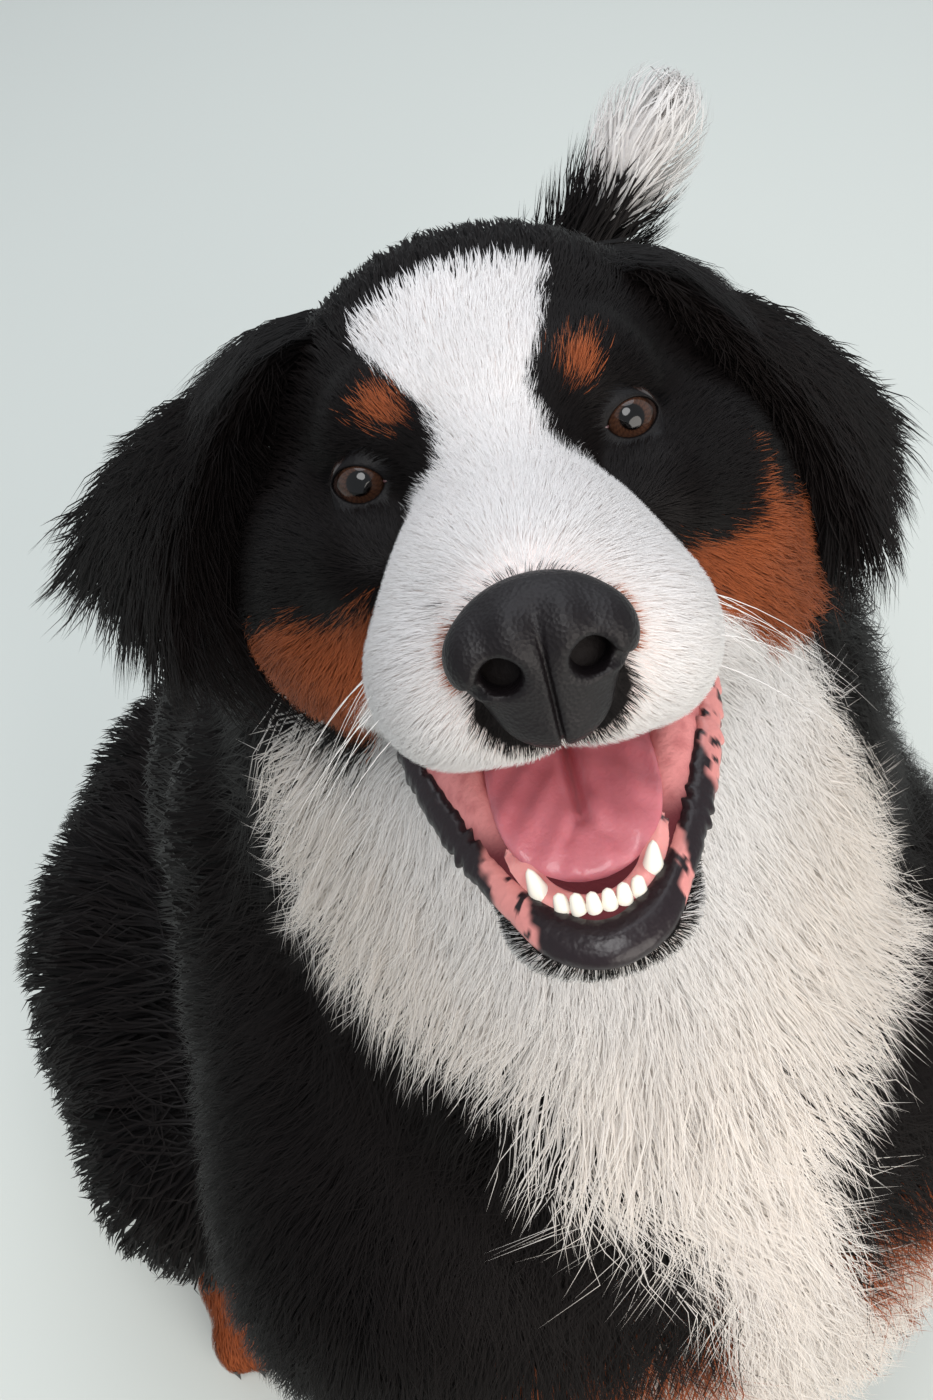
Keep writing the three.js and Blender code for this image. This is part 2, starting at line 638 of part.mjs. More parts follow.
// Parting: each piece is what the body has in a region, and the body keeps the rest less a thin cut.
function part(name, region, finish) {
  keep(name, rest.intersect(region(0)), finish);
  rest = rest.subtract(region(GAP));
}
const box = (min, max) => (grow) => block(min, max, grow);
const NECK_CUT = [V(0, 80, 590), V(0, -0.4, 0.91)];
const both = (a, b) => (grow) => a(grow).intersect(b(grow));
const either = (a, b) => (grow) => a(grow).add(b(grow));
const past = (point, normal) => (grow) => beyond(point, normal, grow);
part("muzzle", both(past(head(0, 26, -30), FORE), past(V(0, 0, 700), V(0, 0, 1))), WHITE);
part("head", past(V(0, 0, 699), V(0, 0, 1)), BLACK);
part("chest", both(past(V(0, -80, 700), V(0, -1, -0.06)), box(V(-118, -400, 250), V(118, 0, 800))), WHITE);
part("neck", both(past(...NECK_CUT), box(V(-300, -300, 300), V(300, 260, 800))), BLACK);
part(
  "tail_tip",
  both(past(V(398, 590, 392), V(0.65, 0, 0.75)), box(V(290, 450, 200), V(600, 720, 700))),
  WHITE,
);
part("tail", past(V(30, 492, 105), V(0.35, 0.93, 0)), BLACK);
SIDES.forEach(([name, side]) => {
  const span = (x0, x1, y0, y1, z0, z1) => {
    const [a, b] = side > 0 ? [x0, x1] : [-x1, -x0];
    return box(V(a, y0, z0), V(b, y1, z1));
  };
  part("hind_foot_" + name, span(118, 330, -40, 330, -5, 74), RUST);
  part("thigh_" + name, either(span(128, 330, 66, 440, -5, 330), span(172, 330, -40, 90, -5, 330)), BLACK);
  part("front_paw_" + name, span(40, 190, -200, 90, -5, 62), WHITE);
  part("front_leg_" + name, span(46, 200, -200, 84, -5, 272), RUST);
});
part("rump", past(V(0, 275, 285), V(0, 0.72, -0.69)), BLACK);
keep("torso", rest, BLACK);

const group = new THREE.Group();
group.name = "bernese_mountain_dog";
for (const [name, s] of parts) {
  const mesh = s.getMesh();
  const at = new Float32Array(mesh.numVert * 3);
  for (let i = 0; i < mesh.numVert; i++) {
    at.set(mesh.vertProperties.subarray(i * mesh.numProp, i * mesh.numProp + 3), i * 3);
  }
  const g = new THREE.BufferGeometry();
  g.setAttribute("position", new THREE.BufferAttribute(at, 3));
  g.setIndex(new THREE.BufferAttribute(new Uint32Array(mesh.triVerts), 1));
  const [color, roughness] = FINISH[name];
  const m = new THREE.Mesh(g, new THREE.MeshStandardMaterial({ color, roughness, metalness: 0 }));
  m.name = name;
  group.add(m);
}
// The origin is the middle of the bounding box, on the floor.
const bounds = new THREE.Box3().setFromObject(group);
const middle = bounds.getCenter(V(0, 0, 0));
group.position.set(-middle.x, -middle.y, -bounds.min.z);
export default group;
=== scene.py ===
"""A sitting Bernese mountain dog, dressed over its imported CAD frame.

Shapes are worked out in millimetres in the design frame (floor at 0, the dog facing -Y, its left
side at +X, x = 0 on its middle plane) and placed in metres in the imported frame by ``place``.
"""

import logging
import math
from collections.abc import Callable, Sequence
from dataclasses import dataclass
from enum import Enum, IntEnum

import bpy
import numpy as np
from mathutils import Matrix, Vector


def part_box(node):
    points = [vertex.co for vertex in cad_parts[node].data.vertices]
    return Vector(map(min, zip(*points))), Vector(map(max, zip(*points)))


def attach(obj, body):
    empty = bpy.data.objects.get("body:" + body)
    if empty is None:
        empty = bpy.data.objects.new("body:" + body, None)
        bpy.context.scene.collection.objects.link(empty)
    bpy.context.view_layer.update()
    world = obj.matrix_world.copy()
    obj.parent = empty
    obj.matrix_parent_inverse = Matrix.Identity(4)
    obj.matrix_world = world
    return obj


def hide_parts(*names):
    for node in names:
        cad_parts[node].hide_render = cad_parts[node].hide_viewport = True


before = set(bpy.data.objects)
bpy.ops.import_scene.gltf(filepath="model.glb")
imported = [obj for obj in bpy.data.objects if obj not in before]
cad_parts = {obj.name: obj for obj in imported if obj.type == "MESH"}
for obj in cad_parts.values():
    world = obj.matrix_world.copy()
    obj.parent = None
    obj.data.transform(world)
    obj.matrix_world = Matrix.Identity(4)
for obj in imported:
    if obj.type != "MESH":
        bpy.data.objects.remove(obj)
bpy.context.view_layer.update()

import openvdb
from mathutils import Matrix, Vector
from mathutils.kdtree import KDTree

Array = np.ndarray
Point = tuple[float, float, float]
Socket = str | int
log = logging.getLogger("bernese")
MM = 0.001


def unit(v: Array) -> Array:
    """Vectors, one a row, at length one."""
    return v / np.maximum(np.linalg.norm(v, axis=-1, keepdims=True), 1e-9)


def smooth(t: Array) -> Array:
    """A smooth step of values that are first held between 0 and 1."""
    t = np.clip(t, 0.0, 1.0)
    return t * t * (3.0 - 2.0 * t)


def ramp(v: Array, start: float, end: float) -> Array:
    """0 before start and 1 after end, smoothly between; start may be the larger one."""
    return smooth((v - start) / (end - start))


@dataclass(frozen=True)
class HeadFrame:
    """The head's own axes (left, fore, up) at the point midway between the eyes."""

    at: Point = (0.0, -40.0, 800.0)
    yaw: float = 21.5
    pitch: float = 39.2
    tilt: float = 4.1

    def axes(self) -> Array:
        """The three axes as rows: left, fore and up.

        Returns:
            The axes.
        """
        yaw, pitch, tilt = np.radians([self.yaw, self.pitch, self.tilt])
        fore = np.array(
            [-np.sin(yaw) * np.cos(pitch), -np.cos(yaw) * np.cos(pitch), np.sin(pitch)]
        )
        level = np.array([np.cos(yaw), -np.sin(yaw), 0.0])
        left = level * np.cos(tilt) + np.cross(fore, level) * np.sin(tilt)
        return np.stack([left, fore, np.cross(fore, left)])

    def out(self, local: Array | Sequence[float]) -> Array:
        """Points of the head's frame in the design frame."""
        return np.asarray(local, float) @ self.axes() + np.array(self.at)

    def turn(self, local: Array | Sequence[float]) -> Array:
        """Directions of the head's frame in the design frame."""
        return np.asarray(local, float) @ self.axes()

    def into(self, p: Array) -> Array:
        """Points of the design frame in the head's frame."""
        return (p - np.array(self.at)) @ self.axes().T


HEAD = HeadFrame()
# From the head's middle plane to the middle of an eye, and the eyeball's radius.
EYE_OUT = 43.0
EYE_R = 11.5


def packed_shift() -> Array:
    """The step, in mm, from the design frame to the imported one, read off the left eye."""
    low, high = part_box("eye_left")
    return (np.array(low) + np.array(high)) / 2 / MM - HEAD.out((EYE_OUT, 0.0, 0.0))


SHIFT = packed_shift()


def place(p: Array) -> Array:
    """Design points in mm as packed points in metres."""
    return (p + SHIFT) * MM


@dataclass(frozen=True)
class Egg:
    """A mass of flesh with three radii, under a coat of the given depth."""

    centre: Point
    radii: Point
    coat: float

    def gap(self, p: Array) -> Array:
        """Distance of points from its surface.

        Args:
            p: points in mm.

        Returns:
            The distances, less than 0 inside.
        """
        a = (p - np.array(self.centre)) / np.array(self.radii)
        la = np.linalg.norm(a, axis=1)
        lb = np.linalg.norm(a / np.array(self.radii), axis=1)
        return la * (la - 1.0) / np.maximum(lb, 1e-9)

    def span(self) -> tuple[Array, Array]:
        """Its lowest and highest corners."""
        c, r = np.array(self.centre), np.array(self.radii)
        return c - r, c + r


@dataclass(frozen=True)
class Limb:
    """A tapering limb between two points."""

    start: Point
    end: Point
    r0: float
    r1: float
    coat: float

    def gap(self, p: Array) -> Array:
        """Distance of points from its surface.

        Args:
            p: points in mm.

        Returns:
            The distances, less than 0 inside.
        """
        a, run = np.array(self.start), np.array(self.end) - np.array(self.start)
        t = np.clip((p - a) @ run / (run @ run), 0.0, 1.0)
        return np.linalg.norm(p - a - t[:, None] * run, axis=1) - (
            self.r0 + (self.r1 - self.r0) * t
        )

    def span(self) -> tuple[Array, Array]:
        """Its lowest and highest corners.

        Returns:
            The two corners.
        """
        a, b = np.array(self.start), np.array(self.end)
        r = max(self.r0, self.r1)
        return np.minimum(a, b) - r, np.maximum(a, b) + r


class Space(Enum):
    """The frame that a body's flesh is given in."""

    WORLD = "world"
    BOTH_SIDES = "world, left half mirrored"
    HEAD = "head, left half mirrored"


# Distance kept where nothing is near, and how far depths of coat pass into each other.
FAR = 400.0
COAT_BLEND = 22.0


@dataclass(frozen=True)
class Body:
    """Flesh that melts together."""

    space: Space
    melt: float
    flesh: tuple[Egg | Limb, ...]

    def local(self, p: Array) -> Array:
        """Points in this body's own frame, folded onto its left half where it is mirrored.

        Args:
            p: points in mm.

        Returns:
            The points in its frame.
        """
        q = HEAD.into(p) if self.space is Space.HEAD else p.copy()
        if self.space is not Space.WORLD:
            q[:, 0] = np.abs(q[:, 0])
        return q

    def world_span(self) -> tuple[Array, Array]:
        """The lowest and highest corners of the whole body in the design frame.

        Returns:
            The two corners.
        """
        spans = [f.span() for f in self.flesh]
        low = np.min([s[0] for s in spans], axis=0)
        high = np.max([s[1] for s in spans], axis=0)
        if self.space is not Space.WORLD:
            low[0] = -high[0]
        if self.space is not Space.HEAD:
            return low, high
        pick = np.array([[i & 1, i >> 1 & 1, i >> 2 & 1] for i in range(8)])
        corners = HEAD.out(np.where(pick, high, low))
        return corners.min(axis=0), corners.max(axis=0)

    def read(self, p: Array, margin: float = 90.0) -> tuple[Array, Array]:
        """Distance and depth of coat at points; far points are only known to be far.

        Args:
            p: points in mm.
            margin: how far out the distance is worked out.

        Returns:
            The blended distances and the blended depths of the coat.
        """
        q = self.local(p)
        spans = [f.span() for f in self.flesh]
        low = np.min([s[0] for s in spans], axis=0) - margin
        high = np.max([s[1] for s in spans], axis=0) + margin
        near = np.all((q > low) & (q < high), axis=1)
        gap, coat = np.full(len(p), FAR), np.zeros(len(p))
        q = q[near]
        if not len(q):
            return gap, coat
        gaps = np.stack([f.gap(q) for f in self.flesh])
        blended = gaps[0]
        for g in gaps[1:]:
            h = np.maximum(self.melt - np.abs(blended - g), 0.0) / self.melt
            blended = np.minimum(blended, g) - h * h * self.melt / 4.0
        weight = np.exp(-(gaps - gaps.min(axis=0)) / COAT_BLEND)
        coats = np.array([f.coat for f in self.flesh])
        gap[near] = blended
        coat[near] = coats @ weight / weight.sum(axis=0)
        return gap, coat


SKULL = Body(
    Space.HEAD,
    13.0,
    (
        Egg((0, -74, 3), (70, 84, 62), 16),
        Egg((0, -22, 8), (54, 38, 30), 6),
        Egg((33, -7, 15), (17, 15, 14), 3),
        Egg((0, 46, -32), (37, 62, 26), 4),
        Egg((0, 96, -46), (29, 30, 23), 4),
        Limb((0, 54, -27), (0, 0, 0), 20, 25, 5),
        Egg((27, 68, -55), (22, 42, 25), 4),
        Egg((11, 97, -62.5), (13, 15, 11.5), 4),
        Egg((47, -8, -27), (22, 32, 22), 4),
        Egg((57, -42, -36), (35, 46, 42), 15),
        Egg((0, -62, -52), (58, 52, 44), 24),
    ),
)
JAW = Body(
    Space.HEAD,
    9.0,
    (
        Limb((44, -20, -70), (17, 58, -134), 16, 11, 6),
        Egg((0, 64, -142), (26, 21, 12), 4),
        Limb((0, -20, -92), (0, 48, -136), 34, 18, 8),
    ),
)


def neck_run(left: float, fore: float, up: float) -> Point:
    """A point of the head's frame, as the start of a limb of the neck."""
    return tuple(HEAD.out((left, fore, up)))


NECK = Body(
    Space.WORLD,
    40.0,
    (
        Limb(neck_run(0, -88, -34), (0, 20, 490), 66, 112, 40),
        Limb(neck_run(0, -122, -8), (0, 100, 555), 46, 62, 36),
        Limb(neck_run(0, -46, -72), (0, -92, 430), 44, 88, 48),
        Limb(neck_run(34, -70, -66), (60, -22, 500), 52, 80, 48),
    ),
)
TRUNK = Body(
    Space.BOTH_SIDES,
    45.0,
    (
        Limb((0, -25, 420), (0, 180, 350), 134, 124, 36),
        Limb((0, 40, 515), (0, 140, 500), 74, 76, 32),
        Limb((0, 180, 345), (0, 330, 215), 120, 112, 34),
        Egg((0, 372, 142), (118, 104, 134), 38),
        Egg((0, -114, 376), (110, 88, 118), 58),
        Limb((68, 58, 505), (106, -86, 394), 56, 72, 42),
        Limb((106, -86, 394), (112, 8, 288), 70, 52, 30),
    ),
)
THIGH = Body(
    Space.BOTH_SIDES,
    40.0,
    (
        Limb((95, 330, 190), (204, 112, 190), 92, 60, 34),
        Egg((178, 222, 178), (82, 118, 108), 40),
        Limb((204, 108, 178), (170, 272, 70), 52, 38, 26),
    ),
)
FORELEG = Body(
    Space.BOTH_SIDES,
    24.0,
    (
        Limb((112, 2, 285), (101, -20, 115), 50, 29, 14),
        Limb((101, -20, 115), (100, -32, 48), 29, 30, 8),
    ),
)


@dataclass(frozen=True)
class Paw:
    """A paw: its ball and four toes side by side in front of it."""

    ball: Point
    radii: Point
    reach: float
    lean: float
    pitch: float = 17.0

    def toes(self) -> tuple[Egg, ...]:
        """The toes.

        Returns:
            One egg for each toe.
        """
        made = []
        for k in (-1.5, -0.5, 0.5, 1.5):
            reach = self.reach - 5 * abs(k)
            x = self.ball[0] + k * self.pitch * math.cos(self.lean) + math.sin(self.lean) * reach
            y = self.ball[1] + k * self.pitch * math.sin(self.lean) - math.cos(self.lean) * reach
            made.append(Egg((x, y, 17), (10, 18, 14), 3))
        return tuple(made)

    def flesh(self) -> tuple[Egg, ...]:
        """The ball and the toes."""
        return (Egg(self.ball, self.radii, 4), *self.toes())


FORE_PAW = Paw((100, -48, 26), (34, 42, 27), 38, 0.0)
HIND_PAW = Paw((238, 84, 25), (34, 50, 26), 46, 0.16)
PAWS = Body(Space.BOTH_SIDES, 9.0, FORE_PAW.flesh())
HIND_FEET = Body(
    Space.BOTH_SIDES,
    9.0,
    (Limb((170, 280, 52), (222, 132, 40), 33, 28, 10), *HIND_PAW.flesh()),
)
TAIL_LINE: tuple[Point, ...] = (
    (0, 440, 118),
    (42, 520, 98),
    (140, 570, 130),
    (245, 584, 220),
    (338, 584, 325),
    (430, 594, 428),
)
TAIL_RADII = (40, 34, 30, 26, 22, 12)
TAIL_COATS = (38, 42, 46, 48, 40)
TAIL = Body(
    Space.WORLD,
    14.0,
    tuple(
        Limb(a, b, r0, r1, coat)
        for a, b, r0, r1, coat in zip(
            TAIL_LINE, TAIL_LINE[1:], TAIL_RADII, TAIL_RADII[1:], TAIL_COATS
        )
    ),
)


@dataclass(frozen=True)
class Hollow:
    """An egg-shaped hollow in the head, its fore end lowered by a turn."""

    centre: Point
    radii: Point
    turn: float = 0.0

    def gap(self, p: Array) -> Array:
        """Distance of points from its wall, less than 0 inside it.

        Args:
            p: points in mm.

        Returns:
            The distances.
        """
        q = HEAD.into(p) - np.array(self.centre)
        c, s = math.cos(self.turn), math.sin(self.turn)
        back = np.stack([q[:, 0], q[:, 1] * c - q[:, 2] * s, q[:, 1] * s + q[:, 2] * c], axis=1)
        return Egg((0, 0, 0), self.radii, 0).gap(back)


MOUTH_HOLLOWS = (
    Hollow((0, 40, -86), (33, 72, 24), 0.3),
    Hollow((0, 34, -92), (28, 60, 18), 0.6),
)
EYE_HOLLOWS = tuple(Hollow((side * 45.0, 9, 0), (12.5, 11, 10.5)) for side in (1, -1))


def carve(gap: Array, hollow: Hollow, p: Array) -> Array:
    """Distances at points once a hollow is cut out, with a soft rim.

    Args:
        gap: distances from the flesh.
        hollow: the hollow.
        p: the points they belong to.

    Returns:
        The new distances.
    """
    inside = -hollow.gap(p)
    h = np.maximum(HOLLOW_MELT - np.abs(gap - inside), 0.0) / HOLLOW_MELT
    return np.maximum(gap, inside) + h * h * HOLLOW_MELT / 4.0


BODIES = (SKULL, JAW, NECK, TRUNK, THIGH, FORELEG, PAWS, HIND_FEET, TAIL)


class Part(IntEnum):
    """The bodies by their places in BODIES."""

    SKULL = 0
    JAW = 1
    NECK = 2
    TRUNK = 3
    THIGH = 4
    FORELEG = 5
    PAWS = 6
    HIND_FEET = 7
    TAIL = 8


# Soft seams between bodies and round the hollows, and the share of the coat below the skin.
BODY_MELT = 16.0
HOLLOW_MELT = 3.0
SKIN_SHARE = 0.12


class Flesh:
    """The whole dog's flesh, worked out once on a lattice and read between its points."""

    def __init__(self, cell: float, low: Array, high: Array, margin: float = 76.0) -> None:
        """Works out distance and depth of coat on the lattice.

        Args:
            cell: spacing of the lattice, in mm.
            low: its lowest corner.
            high: its highest corner.
            margin: how far round each body its distance is worked out.
        """
        self.cell = cell
        self.low = low
        shape = np.ceil((high - low) / cell).astype(int)
        self.gap = np.full(shape, FAR, np.float32)
        self.coat = np.zeros(shape, np.float32)
        for body in BODIES:
            self._add(body, margin)
        self._cut((*MOUTH_HOLLOWS, *EYE_HOLLOWS))

    def _block(self, low: Array, high: Array) -> tuple[tuple[slice, ...], Array]:
        """The slices of the lattice between two corners, and the points there.

        Args:
            low: one corner.
            high: the other corner.

        Returns:
            The slices and the points.
        """
        top = np.array(self.gap.shape)
        a = np.clip(((low - self.low) / self.cell).astype(int), 0, top)
        b = np.clip(((high - self.low) / self.cell).astype(int) + 2, a, top)
        axes = [self.low[k] + self.cell * np.arange(a[k], b[k]) for k in range(3)]
        points = np.stack(np.meshgrid(*axes, indexing="ij"), axis=-1).reshape(-1, 3)
        return tuple(slice(i, j) for i, j in zip(a, b)), points

    def _add(self, body: Body, margin: float) -> None:
        """Melts a body into the lattice.

        Args:
            body: the body.
            margin: how far round it the lattice is worked out.
        """
        low, high = body.world_span()
        where, points = self._block(low - margin, high + margin)
        if not len(points):
            return
        other, depth = (v.reshape(self.gap[where].shape) for v in body.read(points, margin))
        gap, coat = self.gap[where], self.coat[where]
        h = np.maximum(BODY_MELT - np.abs(gap - other), 0.0) / BODY_MELT
        share = smooth((gap - other) / 24.0 + 0.5)
        self.coat[where] = np.where(
            other >= FAR, coat, np.where(gap >= FAR, depth, coat + (depth - coat) * share)
        )
        self.gap[where] = np.minimum(gap, other) - h * h * BODY_MELT / 4.0

    def _cut(self, hollows: Sequence[Hollow]) -> None:
        """Cuts the hollows of the head.

        Args:
            hollows: the hollows.
        """
        where, points = self._block(np.array(HEAD.at) - 230.0, np.array(HEAD.at) + 230.0)
        cut = self.gap[where].reshape(-1)
        for hollow in hollows:
            cut = carve(cut, hollow, points)
        self.gap[where] = cut.reshape(self.gap[where].shape)

    def read(self, p: Array) -> tuple[Array, Array]:
        """Distance and depth of coat at points.

        Args:
            p: points in mm.

        Returns:
            The distances and the depths.
        """
        q = (p - self.low) / self.cell
        i = np.clip(q.astype(int), 0, np.array(self.gap.shape) - 2)
        t = np.clip(q - i, 0.0, 1.0)
        gap, coat = np.zeros(len(p)), np.zeros(len(p))
        for dx in (0, 1):
            for dy in (0, 1):
                for dz in (0, 1):
                    w = (
                        (t[:, 0] if dx else 1 - t[:, 0])
                        * (t[:, 1] if dy else 1 - t[:, 1])
                        * (t[:, 2] if dz else 1 - t[:, 2])
                    )
                    at = (i[:, 0] + dx, i[:, 1] + dy, i[:, 2] + dz)
                    gap += w * self.gap[at]
                    coat += w * self.coat[at]
        return gap, coat

    def normal(self, p: Array, step: float = 4.0) -> Array:
        """Outward directions at points."""
        slopes = [self.read(p + step * a)[0] - self.read(p - step * a)[0] for a in np.eye(3)]
        return unit(np.stack(slopes, axis=1))

    def settle(self, p: Array, share: float | Array, extra: float = 0.0, rounds: int = 2) -> Array:
        """Points moved straight in or out to a share of the coat's depth.

        Args:
            p: points in mm.
            share: share of the coat's depth.
            extra: mm beyond that.
            rounds: how many steps are taken.

        Returns:
            The moved points.
        """
        p = p.copy()
        for _ in range(rounds):
            gap, coat = self.read(p)
            p -= self.normal(p) * np.clip(gap - coat * share - extra, -12.0, 12.0)[:, None]
        return p


def linear(shade: str) -> Array:
    """A colour given as sRGB hex, in linear light."""
    parts = np.array([int(shade[i : i + 2], 16) / 255 for i in (1, 3, 5)])
    return np.where(parts <= 0.04045, parts / 12.92, ((parts + 0.055) / 1.055) ** 2.4)


def read_off(at: Array, *stops: tuple[float, float]) -> Array:
    """Values on the straight runs between stops (place, value), held beyond both ends."""
    places, values = zip(*stops)
    return np.interp(at, places, values)


class Tone(Enum):
    """A colour of the coat: its slot in the record, and its hair at the root and at the tip."""

    BLACK = ("black_coat", "#0b090a", "#1d1817")
    WHITE = ("white_coat", "#eae6e3", "#efeeee")
    RUST = ("rust_coat", "#602c16", "#b8663c")


TONES = tuple(Tone)
BLACK, WHITE, RUST = (TONES.index(tone) for tone in (Tone.BLACK, Tone.WHITE, Tone.RUST))


def nearest_body(p: Array) -> Array:
    """The number in BODIES of the body each point lies on."""
    return np.argmin(np.stack([body.read(p, 60.0)[0] for body in BODIES]), axis=0)


def melt(a: Array, b: Array, k: float) -> Array:
    """Two distances joined with a soft seam."""
    h = np.maximum(k - np.abs(a - b), 0.0) / k
    return np.minimum(a, b) - h * h * k / 4.0


def take(a: Array, b: Array, k: float) -> Array:
    """One distance with the other's form cut out of it, with a soft rim."""
    return -melt(-a, b, k)


@dataclass(frozen=True)
class Nose:
    """The nose pad with its comma-shaped nostrils and the narrow groove between them."""

    pad: Egg = Egg((0, 121, -42), (23.5, 15, 17), 0)
    chin: Egg = Egg((0, 117, -54.5), (17, 11, 17.5), 0)
    wing: Egg = Egg((16.5, 127, -43), (8.5, 9, 9.5), 0)
    groove_half: float = 0.6
    groove_depth: float = 2.2
    groove_top: float = -46.5

    def gap(self, q: Array) -> Array:
        """Distance from the nose at points of the head's frame.

        Args:
            q: points of the head's frame.

        Returns:
            The distances.
        """
        fold = q * np.array([0, 1, 1]) + np.abs(q) * np.array([1, 0, 0])
        made = melt(melt(self.pad.gap(q), self.chin.gap(q), 7), self.wing.gap(fold), 5)
        made = melt(made, Egg((7, 131, -40), (6, 7, 9), 0).gap(fold), 4)
        made = take(made, Limb((12.0, 141, -49), (11.5, 121, -46), 6.2, 5.0, 0).gap(fold), 2.6)
        made = take(made, Limb((14, 135, -50), (26, 121, -52), 3.4, 1.5, 0).gap(fold), 2.0)
        fade = 0.25 * np.maximum(q[:, 2] - self.groove_top, 0.0)
        groove = np.maximum(np.abs(q[:, 0]) - self.groove_half, fade - made - self.groove_depth)
        return take(made, groove, 1.4)


NOSE = Nose()


@dataclass(frozen=True)
class Markings:
    """Where the coat is white or rust. Readings are mm inside an edge, below 0 outside it."""

    brow: Point = (35.0, 11.0, 27.5)
    brow_size: Point = (7.6, 9.0, 9.4)
    tail_plane: Point = (398.0, 590.0, 411.0)
    spot: Point = (-25.0, 109.0, -28.0)

    def blaze(self, h: Array) -> Array:
        """White of the forehead, between the eyes and over the whole muzzle.

        Args:
            h: points of the head's frame.

        Returns:
            The readings.
        """
        left, fore, up = h.T
        middle = read_off(up, (15, -1), (50, -6), (70, 4))
        half = read_off(
            up, (-8, 30), (4, 20), (22, 18), (31, 24), (44, 33), (56, 36), (64, 31), (72, 20)
        )
        stripe = np.minimum(half - np.abs(left - middle), fore + 37.0)
        muzzle = fore - read_off(up, (-66, 7), (-56, 14), (-46, 30), (-37, 36), (-8, 36), (12, 40))
        return np.maximum(stripe, muzzle)

    def bib(self, p: Array) -> Array:
        """White of the throat and the breast, with its cross lower down.

        Args:
            p: points in mm.

        Returns:
            The readings.
        """
        x, y, z = p.T
        right = read_off(
            z, (425, -242), (440, -239), (458, -232), (474, -223), (489, -210), (501, -197),
            (515, -181), (532, -164), (558, -123), (569, -67), (587, -20), (618, -3), (660, 5),
        ) - y
        left = np.minimum.reduce([
            z - read_off(
                y, (-236, 452), (-224, 476), (-206, 496), (-186, 508), (-142, 514), (-106, 510),
                (-59, 498),
            ),
            4.0 - y,
            read_off(z, (480, 124), (504, 132), (575, 120), (648, 103), (711, 84)) - x,
        ])
        upper = np.minimum(np.where(x < 0, right, left), z - 424.0)
        cross = np.minimum(
            np.minimum(read_off(np.abs(x), (41, 418), (107, 404)) - z, 112.0 - np.abs(x)),
            np.minimum(z - 318.0 - 0.5 * np.abs(x), -120.0 - y),
        )
        stem = np.minimum(np.minimum(36.0 - np.abs(x), z - 250.0), -60.0 - y)
        return np.maximum(np.maximum(upper, cross), stem)

    def rust_face(self, h: Array) -> Array:
        """Rust of the cheeks, the brow spots and the stripe below the left ear.

        Args:
            h: points of the head's frame.

        Returns:
            The readings.
        """
        left, fore, up = h.T
        side = np.abs(left)
        cheek = np.minimum.reduce(
            [-42.0 - up, fore + 60.0 + 0.25 * (up + 50.0), side - 47.0, up + 126.0]
        ) + 5.0 * sway(h, 48.0)
        brow = (1.0 - np.linalg.norm(
            (np.stack([side, fore, up], 1) - np.array(self.brow)) / np.array(self.brow_size),
            axis=1,
        )) * 9.0
        stripe = -Limb((87, -20, -22), (90, -8, -52), 3, 6, 0).gap(h)
        return np.maximum(np.maximum(cheek, brow), stripe)

    def rust_body(self, p: Array) -> Array:
        """Rust edge of the cross, and of the legs above the socks.

        Args:
            p: points in mm.

        Returns:
            The readings.
        """
        x, y, z = p.T
        side = np.abs(x)
        band = np.minimum.reduce(
            [read_off(side, (41, 434), (107, 420)) - z, z - 326.0, 128.0 - side, -108.0 - y]
        )
        shank = np.minimum.reduce([z - 90.0, 250.0 - z, 6.0 - y])
        return np.maximum(np.minimum(band, side - 30.0), np.where(z < 270, shank, -50.0))

    def tones(self, p: Array, near: Array, stray: Array, root: Array | None = None) -> Array:
        """The number in TONES for each point.

        Args:
            p: points in the design frame.
            near: the body that each lies on.
            stray: mm by which each may stray over an edge.
            root: where the hair at the points grows, if they are on hair.

        Returns:
            Numbers of tones.
        """
        h = HEAD.into(p)
        at = h if root is None else HEAD.into(root)
        on_head = near <= Part.JAW
        on_front = (near == Part.NECK) | (near == Part.TRUNK)
        white = np.full(len(p), -30.0)
        rust = np.full(len(p), -30.0)
        white = np.where(on_head, self.blaze(h), white)
        white = np.where(near == Part.JAW, np.maximum(white, 12.0), white)
        low = np.minimum(655.0 - p[:, 2], 200.0)
        white = np.where(on_head, np.maximum(white, np.minimum(self.bib(p), low)), white)
        white = np.where(on_front, self.bib(p), white)
        rust = np.where(on_head, np.minimum(self.rust_face(h), -self.blaze(h)), rust)
        rust = np.where(near >= Part.TRUNK, self.rust_body(p), rust)
        pad = melt(NOSE.pad.gap(at), NOSE.chin.gap(at), 7)
        rim = 0.2 + 4.6 * ramp(-at[:, 2], 50.0, 62.0) + 0.3 * stray
        dark = on_head & (pad < rim) & (at[:, 1] > 88)
        dark |= on_head & (np.linalg.norm(at - np.array(self.spot), axis=1) < 2.6 + stray)
        chin = (near == Part.JAW) & (at[:, 2] < -116) & (at[:, 1] > 40)
        dark |= chin & (lip_gap(at) < 2.0 + stray)
        white = np.where(dark, -20.0, white)
        side = on_head & (pad < 3.0) & (np.abs(at[:, 2] + 40) < 11)
        side &= (np.abs(at[:, 0]) > 20) & ~dark
        white = np.where(side, -20.0, white)
        rust = np.where(side, 20.0, rust)
        socks = (near == Part.PAWS) | (near == Part.FORELEG)
        white = np.where(socks, 92.0 - p[:, 2], white)
        hind = near == Part.HIND_FEET
        white = np.where(hind, 26.0 - p[:, 1], white)
        rust = np.where(hind, np.minimum(74.0 - p[:, 2], 250.0 - p[:, 1]), rust)
        tip = (p - np.array(self.tail_plane)) @ np.array([0.65, 0.0, 0.75])
        white = np.where(near == Part.TAIL, tip, white)
        rust = np.where(near == Part.TAIL, -30.0, rust)
        drift = 2.5 * sway(p, 23.0)
        tone = np.where(white + stray + 0.5 * drift > 0, WHITE, BLACK)
        return np.where((rust + 2.0 * stray + drift > 0) & (white + stray < 6.0), RUST, tone)


